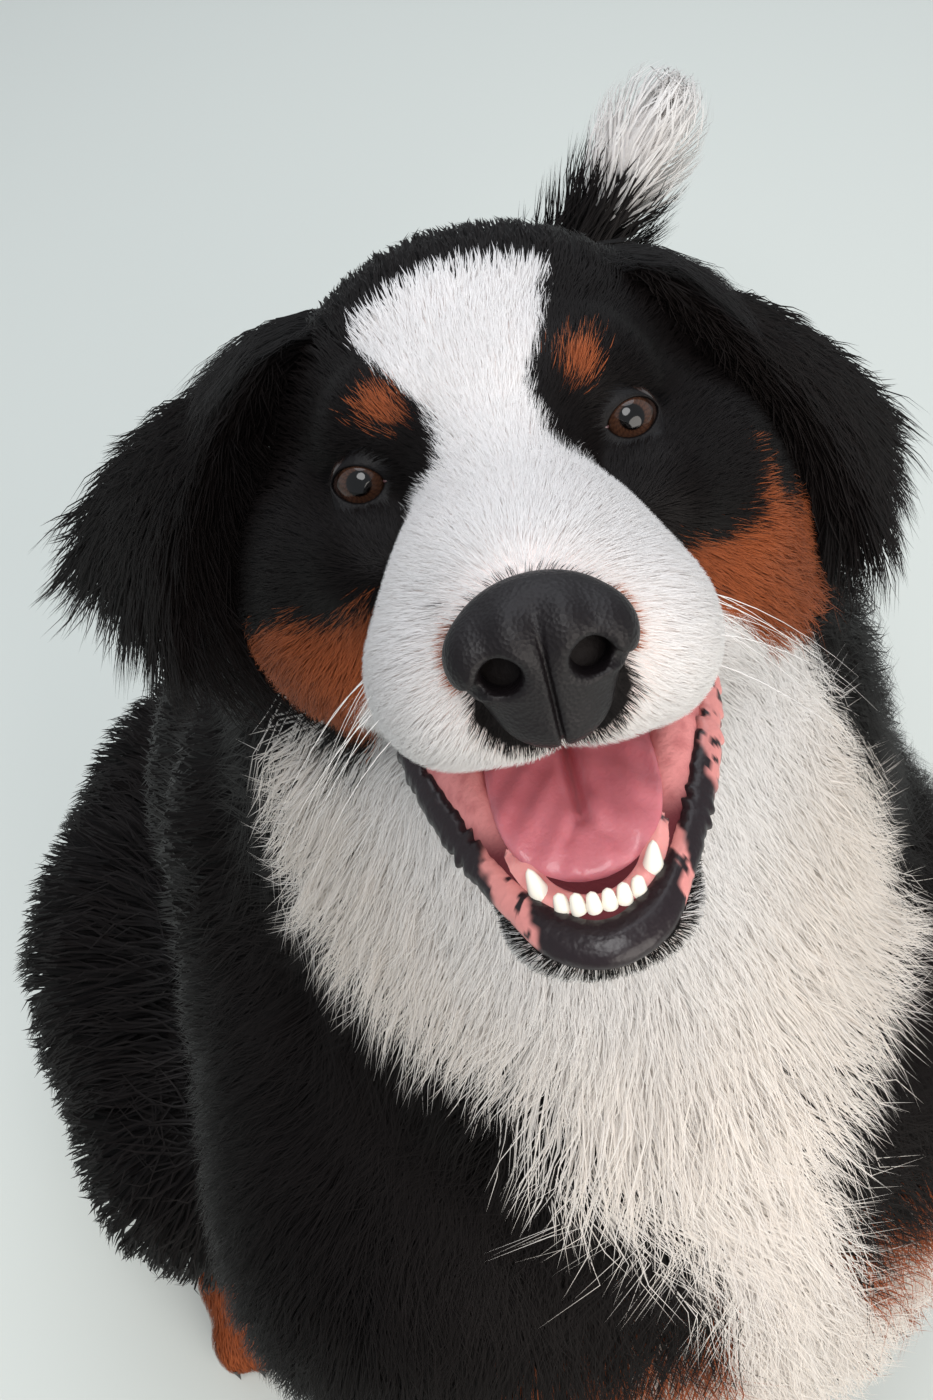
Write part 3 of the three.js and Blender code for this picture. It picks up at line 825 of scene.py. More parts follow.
MARKINGS = Markings()
CREAM = linear("#f1e7dc")
INNER_PINK = linear("#d88c8a")
# Dark red of painted shade in the mouth: towards the throat and under the tongue's tip.
MOUTH_SHADE_RED = linear("#5a262b")
GUM_PINK = linear("#e49a95")
GUM_RED = linear("#9c4a4c")
INNER_RED = linear("#a8595b")
EAR_SKIN = linear("#151112")
IRIS_DARK = linear("#2c1b14")
IRIS_LIGHT = linear("#583b2b")
IRIS_RIM = linear("#1c110c")
PUPIL = linear("#040303")
EYE_WHITE = linear("#2b201d")
LIP_BLACK = linear("#1c1216")
LIP_PINK = linear("#cc8580")
MUZZLE_SKIN = linear("#dcb9ae")


# Down the middle of the lower lip and of the lower gum, from the front to the left corner of the
# mouth: centre, direction across, half width and half depth.
LIP_STOPS = (
    (0, 83, -141, 0, 0.6, -0.8, 7.8, 4.6),
    (15, 77, -137.5, 0.3, 0.5, -0.75, 7.6, 4.5),
    (26, 64, -128.5, 0.5, 0.35, -0.78, 5.6, 3.6),
    (36, 46, -117, 0.6, 0.2, -0.77, 5.6, 3.2),
    (45, 27, -103, 0.6, 0.1, -0.8, 5.4, 3.0),
    (52, 8, -88, 0.5, 0.0, -0.85, 4.0, 2.4),
)
GUM_STOPS = (
    (0, 74, -134, 0, 0.4, -0.6, 5.0, 4.0),
    (14, 68, -130.5, 0.3, 0.35, -0.6, 5.4, 4.0),
    (23, 54, -120.5, 0.5, 0.2, -0.6, 6.5, 4.0),
    (32, 37, -109, 0.6, 0.1, -0.6, 7.5, 4.0),
    (40, 20, -97, 0.6, 0.1, -0.6, 7.5, 3.4),
    (46, 3, -84, 0.5, 0.0, -0.6, 5.5, 2.6),
)


def lip_tint(h: Array) -> Array:
    """Colours of the lower lip: black, but for pink gaps beside the chin and at the left corner.

    Args:
        h: points of the head's frame.

    Returns:
        A linear colour for each.
    """
    left = h[:, 0] + 1.6 * sway(h, 9.0)
    gap = ramp(-left, 20.5, 22.5) * ramp(-left, 33.5, 31.0)
    gap = np.maximum(gap, ramp(left, 23.5, 24.5) * ramp(left, 29.5, 28.0))
    corner = ramp(left, 41.0, 43.5) * ramp(sway(h, 6.5), 0.42, 0.3)
    pink = np.maximum(gap * ramp(sway(h + 40.0, 7.0), 0.5, 0.4), corner)[:, None]
    return LIP_BLACK * (1 - pink) + LIP_PINK * pink


def gum_tint(h: Array) -> Array:
    """Colours of the gums: pink, mottled with red and with a few black spots.

    Args:
        h: points of the head's frame.

    Returns:
        A linear colour for each.
    """
    red = 0.4 * ramp(sway(h, 8.0), -0.2, 0.7)[:, None]
    spots = (ramp(sway(h + 15.0, 7.5), 0.62, 0.7) * ramp(np.abs(h[:, 0]), 14.0, 18.0))[:, None]
    made = GUM_PINK * (1 - red) + GUM_RED * red
    return made * (1 - spots) + LIP_BLACK * spots


def lip_gap(h: Array) -> Array:
    """Distance from the flesh of the lower lip and gum, at points of the head's frame.

    Args:
        h: points of the head's frame.

    Returns:
        The distances.
    """
    q = h * np.array([0, 1, 1]) + np.abs(h) * np.array([1, 0, 0])
    runs = [
        Limb(a[:3], b[:3], a[6] + spare, b[6] + spare, 0).gap(q)
        for stops, spare in ((LIP_STOPS, -1.5), (GUM_STOPS, 3.0))
        for a, b in zip(stops, stops[1:])
    ]
    return np.min(runs, axis=0)


def mouth_gap(p: Array) -> Array:
    """Distance from the wall of the mouth, less than 0 inside the mouth."""
    return np.min([hollow.gap(p) for hollow in MOUTH_HOLLOWS], axis=0)


def new_mesh(
    name: str, points: Array, corners: Array, sizes: Array, normals: Array | None = None
) -> bpy.types.Object:
    """A mesh object from arrays, its place in its mesh.

    Args:
        name: name of the object.
        points: design points in mm.
        corners: the faces' corners, one face after another.
        sizes: number of corners of each face.
        normals: directions that the points are shaded with.

    Returns:
        The object, linked to the scene.
    """
    mesh = bpy.data.meshes.new(name)
    mesh.vertices.add(len(points))
    mesh.vertices.foreach_set("co", place(points).astype(np.float32).ravel())
    mesh.loops.add(len(corners))
    mesh.loops.foreach_set("vertex_index", corners.astype(np.int32))
    mesh.polygons.add(len(sizes))
    starts = np.concatenate([[0], np.cumsum(sizes)[:-1]])
    mesh.polygons.foreach_set("loop_start", starts.astype(np.int32))
    mesh.update(calc_edges=True)
    mesh.validate()
    if normals is not None:
        mesh.normals_split_custom_set_from_vertices(normals.astype(np.float32).tolist())
    piece = bpy.data.objects.new(name, mesh)
    bpy.context.collection.objects.link(piece)
    return piece


def paint(piece: bpy.types.Object, colours: Array, name: str = "coat") -> None:
    """Keeps a linear colour for each point as an attribute.

    Args:
        piece: the piece.
        colours: a linear colour for each point.
        name: the attribute's name.
    """
    layer = piece.data.color_attributes.new(name, "FLOAT_COLOR", "POINT")
    full = np.concatenate([colours, np.ones((len(colours), 1))], axis=1)
    layer.data.foreach_set("color", full.astype(np.float32).ravel())


def points_of(piece: bpy.types.Object) -> Array:
    """A piece's points in the design frame, in mm.

    Args:
        piece: the piece.

    Returns:
        Its points.
    """
    flat = np.zeros(len(piece.data.vertices) * 3, np.float32)
    piece.data.vertices.foreach_get("co", flat)
    return flat.reshape(-1, 3).astype(float) / MM - SHIFT


def move_points(piece: bpy.types.Object, points: Array) -> None:
    """Puts a piece's points at design points in mm."""
    piece.data.vertices.foreach_set("co", place(points).astype(np.float32).ravel())
    piece.data.update()


def only(piece: bpy.types.Object) -> None:
    """Makes a piece the active and only selected object.

    Args:
        piece: the piece.
    """
    bpy.ops.object.select_all(action="DESELECT")
    piece.select_set(True)
    bpy.context.view_layer.objects.active = piece


def add_node(
    tree: bpy.types.NodeTree, kind: str, links: dict[Socket, object] | None = None, **settings: object
) -> bpy.types.Node:
    """Adds a node, sets it and links its inputs.

    Args:
        tree: the material's nodes.
        kind: the node's type.
        links: by input, the socket it is linked from or the value it holds.
        settings: the node's own settings.

    Returns:
        The node.
    """
    node = tree.nodes.new(kind)
    for key, value in settings.items():
        setattr(node, key, value)
    for key, source in (links or {}).items():
        if isinstance(source, bpy.types.NodeSocket):
            tree.links.new(source, node.inputs[key])
        else:
            node.inputs[key].default_value = source
    return node


@dataclass(frozen=True)
class Finish:
    """A surface: its colour, or the attribute that holds it, its gloss and its grain."""

    name: str
    colour: str = "#808080"
    roughness: float = 0.5
    specular: float = 0.5
    wet: float = 0.0
    inner: float = 0.0
    through: float = 0.0
    tint_from: str = ""
    grain_mm: float = 0.0
    grain_depth_mm: float = 0.0
    pebbled: bool = False
    speckle: str = ""
    speckle_mm: float = 3.0

    def material(self) -> bpy.types.Material:
        """The material, made the first time it is asked for.

        Returns:
            The material.
        """
        if self.name in bpy.data.materials:
            return bpy.data.materials[self.name]
        made = bpy.data.materials.new(self.name)
        made.use_nodes = True
        tree = made.node_tree
        tree.nodes.clear()
        shader = add_node(
            tree,
            "ShaderNodeBsdfPrincipled",
            {
                "Base Color": (*linear(self.colour), 1.0),
                "Roughness": self.roughness,
                "Specular IOR Level": self.specular,
                "Coat Weight": self.wet,
                "Coat Roughness": 0.06,
                "Subsurface Weight": self.inner,
                "Subsurface Scale": 0.002,
            },
        )
        where = add_node(tree, "ShaderNodeTexCoord").outputs["Object"]
        colour: object = None
        if self.tint_from:
            colour = add_node(tree, "ShaderNodeAttribute", attribute_name=self.tint_from).outputs[0]
        if self.speckle:
            noise = add_node(
                tree,
                "ShaderNodeTexNoise",
                {"Vector": where, "Scale": 1000.0 / self.speckle_mm, "Detail": 3.0},
            )
            base = colour if colour is not None else (*linear(self.colour), 1.0)
            mix = add_node(
                tree,
                "ShaderNodeMix",
                {0: noise.outputs[0], 6: base, 7: (*linear(self.speckle), 1.0)},
                data_type="RGBA",
            )
            colour = mix.outputs[2]
        surface = shader.outputs[0]
        if colour is not None:
            tree.links.new(colour, shader.inputs["Base Color"])
        if self.through:
            glow = add_node(tree, "ShaderNodeBsdfTranslucent", {"Color": colour})
            mixed = add_node(
                tree, "ShaderNodeMixShader", {0: self.through, 1: surface, 2: glow.outputs[0]}
            )
            surface = mixed.outputs[0]
        add_node(tree, "ShaderNodeOutputMaterial", {"Surface": surface})
        if self.grain_mm:
            kind = "ShaderNodeTexVoronoi" if self.pebbled else "ShaderNodeTexNoise"
            grain = add_node(tree, kind, {"Vector": where, "Scale": 1000.0 / self.grain_mm})
            bump = add_node(
                tree,
                "ShaderNodeBump",
                {
                    "Height": grain.outputs[0],
                    "Distance": self.grain_depth_mm * MM,
                    "Strength": 0.8,
                },
            )
            tree.links.new(bump.outputs[0], shader.inputs["Normal"])
        return made


# Skin under the coat, in the coat's own colours, and pink where the mouth opens, darkened to red
# there with painted shade towards the throat and under the tongue's tip.
HIDE = Finish("skin_with_short_fur", roughness=0.7, specular=0.12, tint_from="coat",
              grain_mm=1.6, grain_depth_mm=0.5)
# Hair of the coat: soft, with a low broad gloss.
HAIR = Finish("coat_hair", roughness=0.44, specular=0.17, through=0.42, tint_from="coat")
# Damp pebbled leather of the nose: near black, its gloss broken up by the pebbles.
NOSE_LEATHER = Finish("damp_nose_leather", "#110d0f", roughness=0.46, specular=0.23,
                      grain_mm=1.2, grain_depth_mm=0.26, pebbled=True)
# Wet pink flesh of the tongue: finely rough, with darker patches under a thin wet film.
TONGUE_FLESH = Finish("wet_tongue_flesh", "#da858e", roughness=0.4, specular=0.4, wet=0.25,
                      inner=0.15, grain_mm=1.3, grain_depth_mm=0.25, speckle="#ab5660",
                      speckle_mm=11.0)
# Wet black skin of the lips, pink where it has no pigment: creased, with long soft glints.
LIP_FLESH = Finish("wet_lip_skin", roughness=0.36, specular=0.3, wet=0.16, tint_from="coat",
                   grain_mm=4.2, grain_depth_mm=0.9)
# Wet pink flesh of the gums: smooth and mottled, with bright small glints.
GUM_FLESH = Finish("wet_gum_flesh", roughness=0.32, specular=0.4, wet=0.4, inner=0.15,
                   tint_from="coat", grain_mm=4.5, grain_depth_mm=0.7)
# Damp flesh in the inner corner of the eye: a dark pink bead with one glint.
DUCT_FLESH = Finish("damp_tear_duct", "#4a2c2e", roughness=0.3, wet=0.5)
# Enamel of the teeth: ivory, clean, hard and wet.
ENAMEL = Finish("wet_tooth_enamel", "#f1eadc", roughness=0.22, specular=0.5, wet=0.2)
# Dark horn of the claws: nearly black, with a dull shine.
HORN = Finish("dark_claw_horn", "#2a2422", roughness=0.4)
# Dark skin of the eyelids: dull and finely creased.
LID_SKIN = Finish("eyelid_skin", "#0b090a", roughness=0.5, specular=0.15, grain_mm=1.2,
                  grain_depth_mm=0.3)
# Wet eyeball: sharp reflections over iris, pupil and white, which are kept as a tint.
EYEBALL = Finish("eye_iris", roughness=0.08, specular=0.15, wet=0.6, tint_from="coat")


class Shading(Enum):
    """How a piece catches the light."""

    ROUNDED = "rounded over its faces"
    COMBED = "along the directions that its tufts were made with"


def finish_piece(
    piece: bpy.types.Object, finish: Finish, slot: str, *nodes: str,
    shading: Shading = Shading.ROUNDED,
) -> bpy.types.Object:
    """Gives a piece its material and its body, and hides the frame's nodes that it stands for.

    Args:
        piece: the piece.
        finish: its finish.
        slot: its slot in the record, which is not used.
        nodes: nodes that it stands for.
        shading: how it catches the light.

    Returns:
        The same piece.
    """
    piece.data.materials.clear()
    piece.data.materials.append(finish.material())
    if shading is Shading.ROUNDED:
        piece.data.shade_smooth()
    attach(piece, "root")
    if nodes:
        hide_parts(*nodes)
    return piece


def head_block(margin: float = 42.0) -> tuple[Array, Array]:
    """The corners of a block round the head and its short coat."""
    spans = [body.world_span() for body in (SKULL, JAW)]
    return np.min([s[0] for s in spans], 0) - margin, np.max([s[1] for s in spans], 0) + margin


@dataclass
class Hide:
    """The skin's surface, as roots are drawn from it."""

    corners: Array
    uv: Array
    points: Array

    def draw(
        self, density: Callable[[Array], Array], chance: np.random.Generator
    ) -> tuple[Array, Array]:
        """Draws roots on the surface.

        Args:
            density: roots a square mm, from the middles of the faces.
            chance: the seeded source of the draw.

        Returns:
            The roots' points and their places on the unwrap.
        """
        tri = self.points[self.corners]
        size = np.linalg.norm(np.cross(tri[:, 1] - tri[:, 0], tri[:, 2] - tri[:, 0]), axis=1) / 2
        wanted = size * density(tri.mean(axis=1))
        count = np.floor(wanted + chance.random(len(wanted))).astype(int)
        face = np.repeat(np.arange(len(tri)), count)
        a, b = chance.random(len(face)), chance.random(len(face))
        over = a + b > 1
        a[over], b[over] = 1 - a[over], 1 - b[over]
        w = np.stack([1 - a - b, a, b], axis=1)
        return np.einsum("nk,nkd->nd", w, tri[face]), np.einsum("nk,nkd->nd", w, self.uv[face])


def unwrap(piece: bpy.types.Object) -> None:
    """Unwraps a piece's own shape into a map for its coat.

    Args:
        piece: the piece.
    """
    piece.data.uv_layers.new(name="OFBake")
    only(piece)
    bpy.ops.object.mode_set(mode="EDIT")
    bpy.ops.mesh.select_all(action="SELECT")
    bpy.ops.uv.smart_project(angle_limit=math.radians(66), island_margin=0.002)
    bpy.ops.object.mode_set(mode="OBJECT")


def hide_of(piece: bpy.types.Object) -> Hide:
    """Reads a piece's triangles and its unwrap.

    Args:
        piece: the piece.

    Returns:
        Its surface.
    """
    mesh = piece.data
    mesh.calc_loop_triangles()
    corners = np.zeros(len(mesh.loop_triangles) * 3, np.int32)
    loops = np.zeros(len(mesh.loop_triangles) * 3, np.int32)
    mesh.loop_triangles.foreach_get("vertices", corners)
    mesh.loop_triangles.foreach_get("loops", loops)
    uv = np.zeros(len(mesh.loops) * 2, np.float32)
    mesh.uv_layers["OFBake"].data.foreach_get("uv", uv)
    return Hide(corners.reshape(-1, 3), uv.reshape(-1, 2)[loops].reshape(-1, 3, 2), points_of(piece))


@dataclass
class Skin:
    """One skin over the whole body, with the mouth open in it."""

    flesh: Flesh
    close: Flesh
    share: float = SKIN_SHARE
    floor: float = 0.6
    head_half: float = 110.0
    head_middle: float = -30.0
    head_high: float = 130.0

    def _round_head(self, h: Array, fore: float, spare: float) -> Array:
        """Which points of the head's frame lie before a plane, in the head's block and its spare.

        Args:
            h: points of the head's frame.
            fore: place of the plane.
            spare: mm by which the block is larger.

        Returns:
            True for each that does.
        """
        beside = np.abs(h[:, 0]) < self.head_half + spare
        return (h[:, 1] > fore - spare) & beside & (
            np.abs(h[:, 2] - self.head_middle) < self.head_high + spare
        )

    def _subdivide(self, piece: bpy.types.Object, fore: float) -> None:
        """Halves the faces of the head before a plane across it, and settles them again.

        Args:
            piece: the skin.
            fore: place of the plane along the head.
        """
        only(piece)
        h = HEAD.into(points_of(piece))
        near = self._round_head(h, fore, 0.0)
        piece.data.vertices.foreach_set("select", near)
        for edge in piece.data.edges:
            edge.select = bool(near[edge.vertices[0]] and near[edge.vertices[1]])
        for face in piece.data.polygons:
            face.select = all(near[v] for v in face.vertices)
        bpy.ops.object.mode_set(mode="EDIT")
        bpy.ops.mesh.select_mode(type="FACE")
        bpy.ops.mesh.subdivide(number_cuts=1, quadcorner="INNERVERT")
        bpy.ops.object.mode_set(mode="OBJECT")
        p = points_of(piece)
        h = HEAD.into(p)
        near = self._round_head(h, fore, 8.0)
        p[near] = self.close.settle(p[near], self.share, rounds=2)
        move_points(piece, p)

    def colours(self, p: Array) -> Array:
        """The skin's colour at points: the coat's own, and pink in the mouth, with painted shade in
        dark red towards the throat and under the tongue's tip.

        Args:
            p: points in mm.

        Returns:
            A linear colour for each.
        """
        near = nearest_body(p)
        tone = MARKINGS.tones(p, near, np.zeros(len(p)))
        tips = np.stack([linear(t.value[2]) for t in TONES])
        roots = np.stack([linear(t.value[1]) for t in TONES])
        made = (0.5 * tips + 0.5 * roots)[tone] * 0.9
        bare = np.where((tone == WHITE) & (near <= Part.JAW), 0.35, 0.0)[:, None]
        made = made * (1 - bare) + MUZZLE_SKIN * bare
        h = HEAD.into(p)
        by_lip = ramp(-lip_gap(h), -0.5, 1.0) * (h[:, 2] < -60)
        inside = np.maximum(ramp(-mouth_gap(p), -2.4, -0.6), by_lip) * (near <= Part.NECK)
        # Painted shade: the mouth's flesh turns dark red towards the throat and on its floor under
        # the tongue's tip.
        deep = ramp(-h[:, 1], -30.0, 20.0)[:, None]
        red = 0.45 * ramp(sway(h, 7.0), -0.1, 0.8)[:, None]
        deep = np.maximum(deep, (ramp(-h[:, 2], 106.0, 118.0) * ramp(h[:, 1], 24.0, 40.0))[:, None])
        flesh = INNER_PINK * (1 - red) + INNER_RED * red
        flesh = flesh * (1 - deep) + MOUTH_SHADE_RED * deep
        return made * (1 - inside[:, None]) + flesh * inside[:, None]

    def build(self) -> tuple[bpy.types.Object, Hide]:
        """The skin and the surface that the coat is rooted on.

        Returns:
            The skin and its surface.
        """
        grid = openvdb.FloatGrid(FAR)
        grid.copyFromArray(
            np.minimum(self.flesh.gap - self.share * self.flesh.coat, FAR).astype(np.float32)
        )
        points, quads = grid.convertToQuads(0.0)[:2]
        points = self.flesh.settle(points * self.flesh.cell + self.flesh.low, self.share)
        points[:, 2] = np.maximum(points[:, 2], self.floor)
        piece = new_mesh("skin", points, quads[:, ::-1].ravel(), np.full(len(quads), 4))
        self._subdivide(piece, -70.0)
        self._subdivide(piece, -36.0)
        unwrap(piece)
        paint(piece, self.colours(points_of(piece)))
        finish_piece(
            piece, HIDE, "black_coat", "muzzle", "lower_jaw", "head", "neck", "chest", "torso",
            "rump", "tail", "tail_tip", "thigh_left", "thigh_right", "front_leg_left",
            "front_leg_right", "front_paw_left", "front_paw_right", "hind_foot_left",
            "hind_foot_right",
        )
        return piece, hide_of(piece)


def sway(p: Array, reach: float) -> Array:
    """A slow wander from -1 to 1 over places.

    Args:
        p: points in mm.
        reach: about how many mm it takes to come back.

    Returns:
        A value for each point.
    """
    q = p / reach * 2 * np.pi
    return (
        np.sin(q[:, 0] + 1.7 * np.sin(0.63 * q[:, 1]) + 0.4)
        + np.sin(0.83 * q[:, 1] + 1.3 * np.sin(0.71 * q[:, 2]) + 2.1)
        + np.sin(0.92 * q[:, 2] + 1.5 * np.sin(0.57 * q[:, 0]) + 4.0)
    ) / 3.0


def lie_of(p: Array, near: Array) -> Array:
    """The direction in which the coat lies at points, by the body each is on.

    Args:
        p: points in mm.
        near: the body that each lies on.

    Returns:
        The directions.
    """
    x, y = p[:, 0], p[:, 1]
    nil, down = np.zeros(len(p)), -np.ones(len(p))
    side, out = np.sign(x), np.clip(np.abs(x) / 100.0, 0, 1.3)
    h = HEAD.into(p)
    lean = np.clip(h[:, 0] / 60.0, -1.2, 1.2)
    drop = ramp(-h[:, 2], 10.0, 80.0) * ramp(-h[:, 1], -60.0, 10.0)
    back = ramp(-h[:, 1], 30.0, 110.0)
    from_nose = unit((h - np.array([0.0, 112.0, -34.0])) * np.array([1.5, 1.0, 1.3]))
    face = HEAD.turn(
        from_nose + np.stack([nil, -0.35 - 0.3 * back, -0.75 * drop - 0.3 * back], 1)
    )
    chin = HEAD.turn(np.stack([0.15 * lean, down, nil - 0.35], 1))
    front = ramp(-y, -30.0, 90.0)
    mane = np.stack([side * out * (0.2 + 0.12 * front), 0.55 - 0.62 * front, down], 1)
    flank = np.stack(
        [0.2 * side * out, 0.95 - 1.0 * front, -0.45 - 0.55 * front - 0.35 * out], 1
    )
    ham = np.stack([0.1 * side, nil + 0.4, down], 1)
    shank = np.stack([0.05 * side, nil + 0.22, down], 1)
    foot = np.stack([0.1 * side, down, nil - 0.45], 1)
    line = np.array(TAIL_LINE)
    gap = np.stack([Limb(tuple(a), tuple(b), 1, 1, 0).gap(p) for a, b in zip(line, line[1:])])
    tail = unit(np.diff(line, axis=0))[np.argmin(gap, axis=0)]
    choices = np.stack([face, chin, mane, flank, ham, shank, foot, foot, tail])
    lie = unit(choices[near, np.arange(len(p))])
    turn = 0.28 * sway(p, 130.0) + 0.12 * sway(p + 300.0, 41.0)
    cross = unit(np.cross(lie, np.array([0.3, 0.5, 0.81])))
    return unit(lie + cross * turn[:, None])


@dataclass
class Roots:
    """Where tufts grow from."""

    at: Array
    uv: Array
    coat: Array
    near: Array
    fine: Array

    def pick(self, chosen: Array) -> "Roots":
        """Some of the roots."""
        return Roots(*(getattr(self, k)[chosen] for k in ("at", "uv", "coat", "near", "fine")))


@dataclass(frozen=True)
class Growth:
    """How tufts of one kind are made: their steps, size, clumps and waves."""

    name: str
    steps: int
    rise: tuple[float, ...]
    clump: float
    per_lock: int
    wave: float
    taper: tuple[float, ...]
    seed: int

    def length(self, coat: Array) -> Array:
        """A tuft's length over a coat of some depth."""
        return 4.0 + 1.32 * coat

    def width(self, coat: Array, fine: Array) -> Array:
        """A tuft's width over a coat of some depth."""
        return (0.46 + 0.026 * coat) * fine


# Hair of the face and the feet, then the long hair of the front, then the broader locks behind.
SHORT = Growth("short", 2, (0.0, 0.62, 0.95), 0.25, 7, 0.02, (1.0, 0.85), 11)
LONG = Growth("long", 4, (0.0, 0.42, 0.7, 0.88, 1.0), 0.55, 14, 0.062, (0.85, 1.0, 0.8, 0.45), 12)
BROAD = Growth("broad", 3, (0.0, 0.5, 0.85, 1.0), 0.5, 8, 0.045, (0.85, 1.0, 0.6), 13)
# Side of a tuft's patch on the unwrap.
PATCH = 0.003
# The most triangles in one piece of the coat.
PIECE_MOST = 185000
# Hair ends at least this many mm above the floor.
LEAST_HEIGHT = 1.2


@dataclass
class Tufts:
    """Tufts worked out: their paths, the skin's direction along them, widths and places."""

    path: Array
    normal: Array
    width: Array
    uv: Array
    tone: Array
    shade: Array
    cream: Array


def tuft_object(name: str, tufts: Tufts, taper: Sequence[float]) -> bpy.types.Object:
    """One mesh of tapering tufts with rounded shading.

    Args:
        name: name of the object.
        tufts: the tufts.
        taper: share of the width at each point but the tip.

    Returns:
        The object.
    """
    count, levels = tufts.path.shape[:2]
    along = unit(np.gradient(tufts.path, axis=1))
    side = unit(np.cross(along, tufts.normal))
    edge = side[:, :-1] * (tufts.width[:, None] * np.array(taper) / 2)[..., None]
    left, right = tufts.path[:, :-1] - edge, tufts.path[:, :-1] + edge
    pairs = np.stack([left, right], axis=2).reshape(count, -1, 3)
    points = np.concatenate([pairs, tufts.path[:, -1:]], axis=1)
    bend = 0.45 * side[:, :-1]
    soft = tufts.normal[:, :-1]
    normals = np.stack([soft - bend, soft + bend], axis=2).reshape(count, -1, 3)
    normals = unit(np.concatenate([normals, tufts.normal[:, -1:]], axis=1))
    each = points.shape[1]
    quads = [(2 * k, 2 * k + 1, 2 * k + 3, 2 * k + 2) for k in range(levels - 2)]
    corners = np.array([c for quad in quads for c in quad] + [each - 3, each - 2, each - 1])
    corners = (corners[None] + each * np.arange(count)[:, None]).ravel()
    sizes = np.tile([4] * len(quads) + [3], count)
    piece = new_mesh(name, points.reshape(-1, 3), corners, sizes, normals.reshape(-1, 3))
    roots = np.stack([linear(t.value[1]) for t in TONES])[tufts.tone]
    tips = np.stack([linear(t.value[2]) for t in TONES])[tufts.tone]
    tips = tips * (1 - tufts.cream[:, None]) + CREAM * tufts.cream[:, None]
    rise = np.repeat(np.linspace(0.15, 1.0, levels), 2)[:each]
    tint = roots[:, None] * (1 - rise)[None, :, None] + tips[:, None] * rise[None, :, None]
    paint(piece, (tint * tufts.shade[:, None, None]).reshape(-1, 3))
    across = np.tile([-0.5, 0.5], levels)[:each]
    up = np.repeat(np.linspace(-0.5, 0.5, levels), 2)[:each]
    spread = np.stack([across, up], axis=1)
    uv = tufts.uv[:, None] + spread[None] * PATCH
    layer = piece.data.uv_layers.new(name="OFBake")
    layer.data.foreach_set("uv", uv.reshape(-1, 2)[corners].astype(np.float32).ravel())
    return piece


def face_depth(h: Array) -> Array:
    """The most that the coat stands off the skin over the face, at points of the head's frame.

    Args:
        h: points of the head's frame.

    Returns:
        The depths.
    """
    brow = read_off(h[:, 1], (-95, 40), (-60, 16), (-30, 8), (-8, 4.5), (20, 3.6))
    cheek = read_off(h[:, 1], (-70, 40), (-40, 22), (-15, 11), (8, 4.5), (20, 3.6))
    low = ramp(-h[:, 2], 20.0, 60.0)
    return brow * (1 - low) + cheek * low


def draw_together(
    path: Array, normals: Array, guides: Array, growth: Growth, roots: Roots,
    chance: np.random.Generator,
) -> Array:
    """Draws tufts together into pointed, waving locks.

    Args:
        path: the tufts' paths.
        normals: directions away from the skin along them.
        guides: numbers of the tufts that the others are drawn to.
        growth: the tufts' kind.
        roots: where they grow.
        chance: the seeded source of their variation.

    Returns:
        The drawn paths.
    """
    tree = KDTree(len(guides))
    for k, g in enumerate(guides):
        tree.insert(roots.at[g], k)
    tree.balance()
    mine = guides[np.array([tree.find(p)[1] for p in roots.at])]
    levels = np.linspace(0, 1, path.shape[1])
    long = growth.length(roots.coat)
    pull = growth.clump * levels**1.3 * (0.7 + 0.5 * chance.random((len(path), 1)))
    spread = chance.normal(size=(len(path), 1, 3)) * (0.035 * long)[:, None, None]
    target = path[mine] + spread * (1 - 0.6 * levels)[None, :, None]
    path = path + (target - path) * np.clip(pull, 0, 0.95)[..., None]
    side = unit(np.cross(unit(np.gradient(path, axis=1)), normals))
    phase = 2 * np.pi * (chance.random(len(path))[mine] + 0.08 * chance.normal(size=len(path)))
    on_front = (roots.near == Part.NECK) | (roots.near == Part.TRUNK)
    edge = (np.exp(-((MARKINGS.bib(roots.at) / 26.0) ** 2)) * on_front)[mine]
    size = growth.wave * long * (0.6 + 0.8 * chance.random(len(path)))[mine] * (1 + 1.8 * edge)
    turns = levels[None] * (7.0 + 2.5 * edge[:, None])
    swing = np.sin(phase[:, None] + turns) - np.sin(phase)[:, None]
    path = path + side * (size[:, None] * swing * levels[None])[..., None]
    path[..., 2] = np.maximum(path[..., 2], LEAST_HEIGHT)
    return path


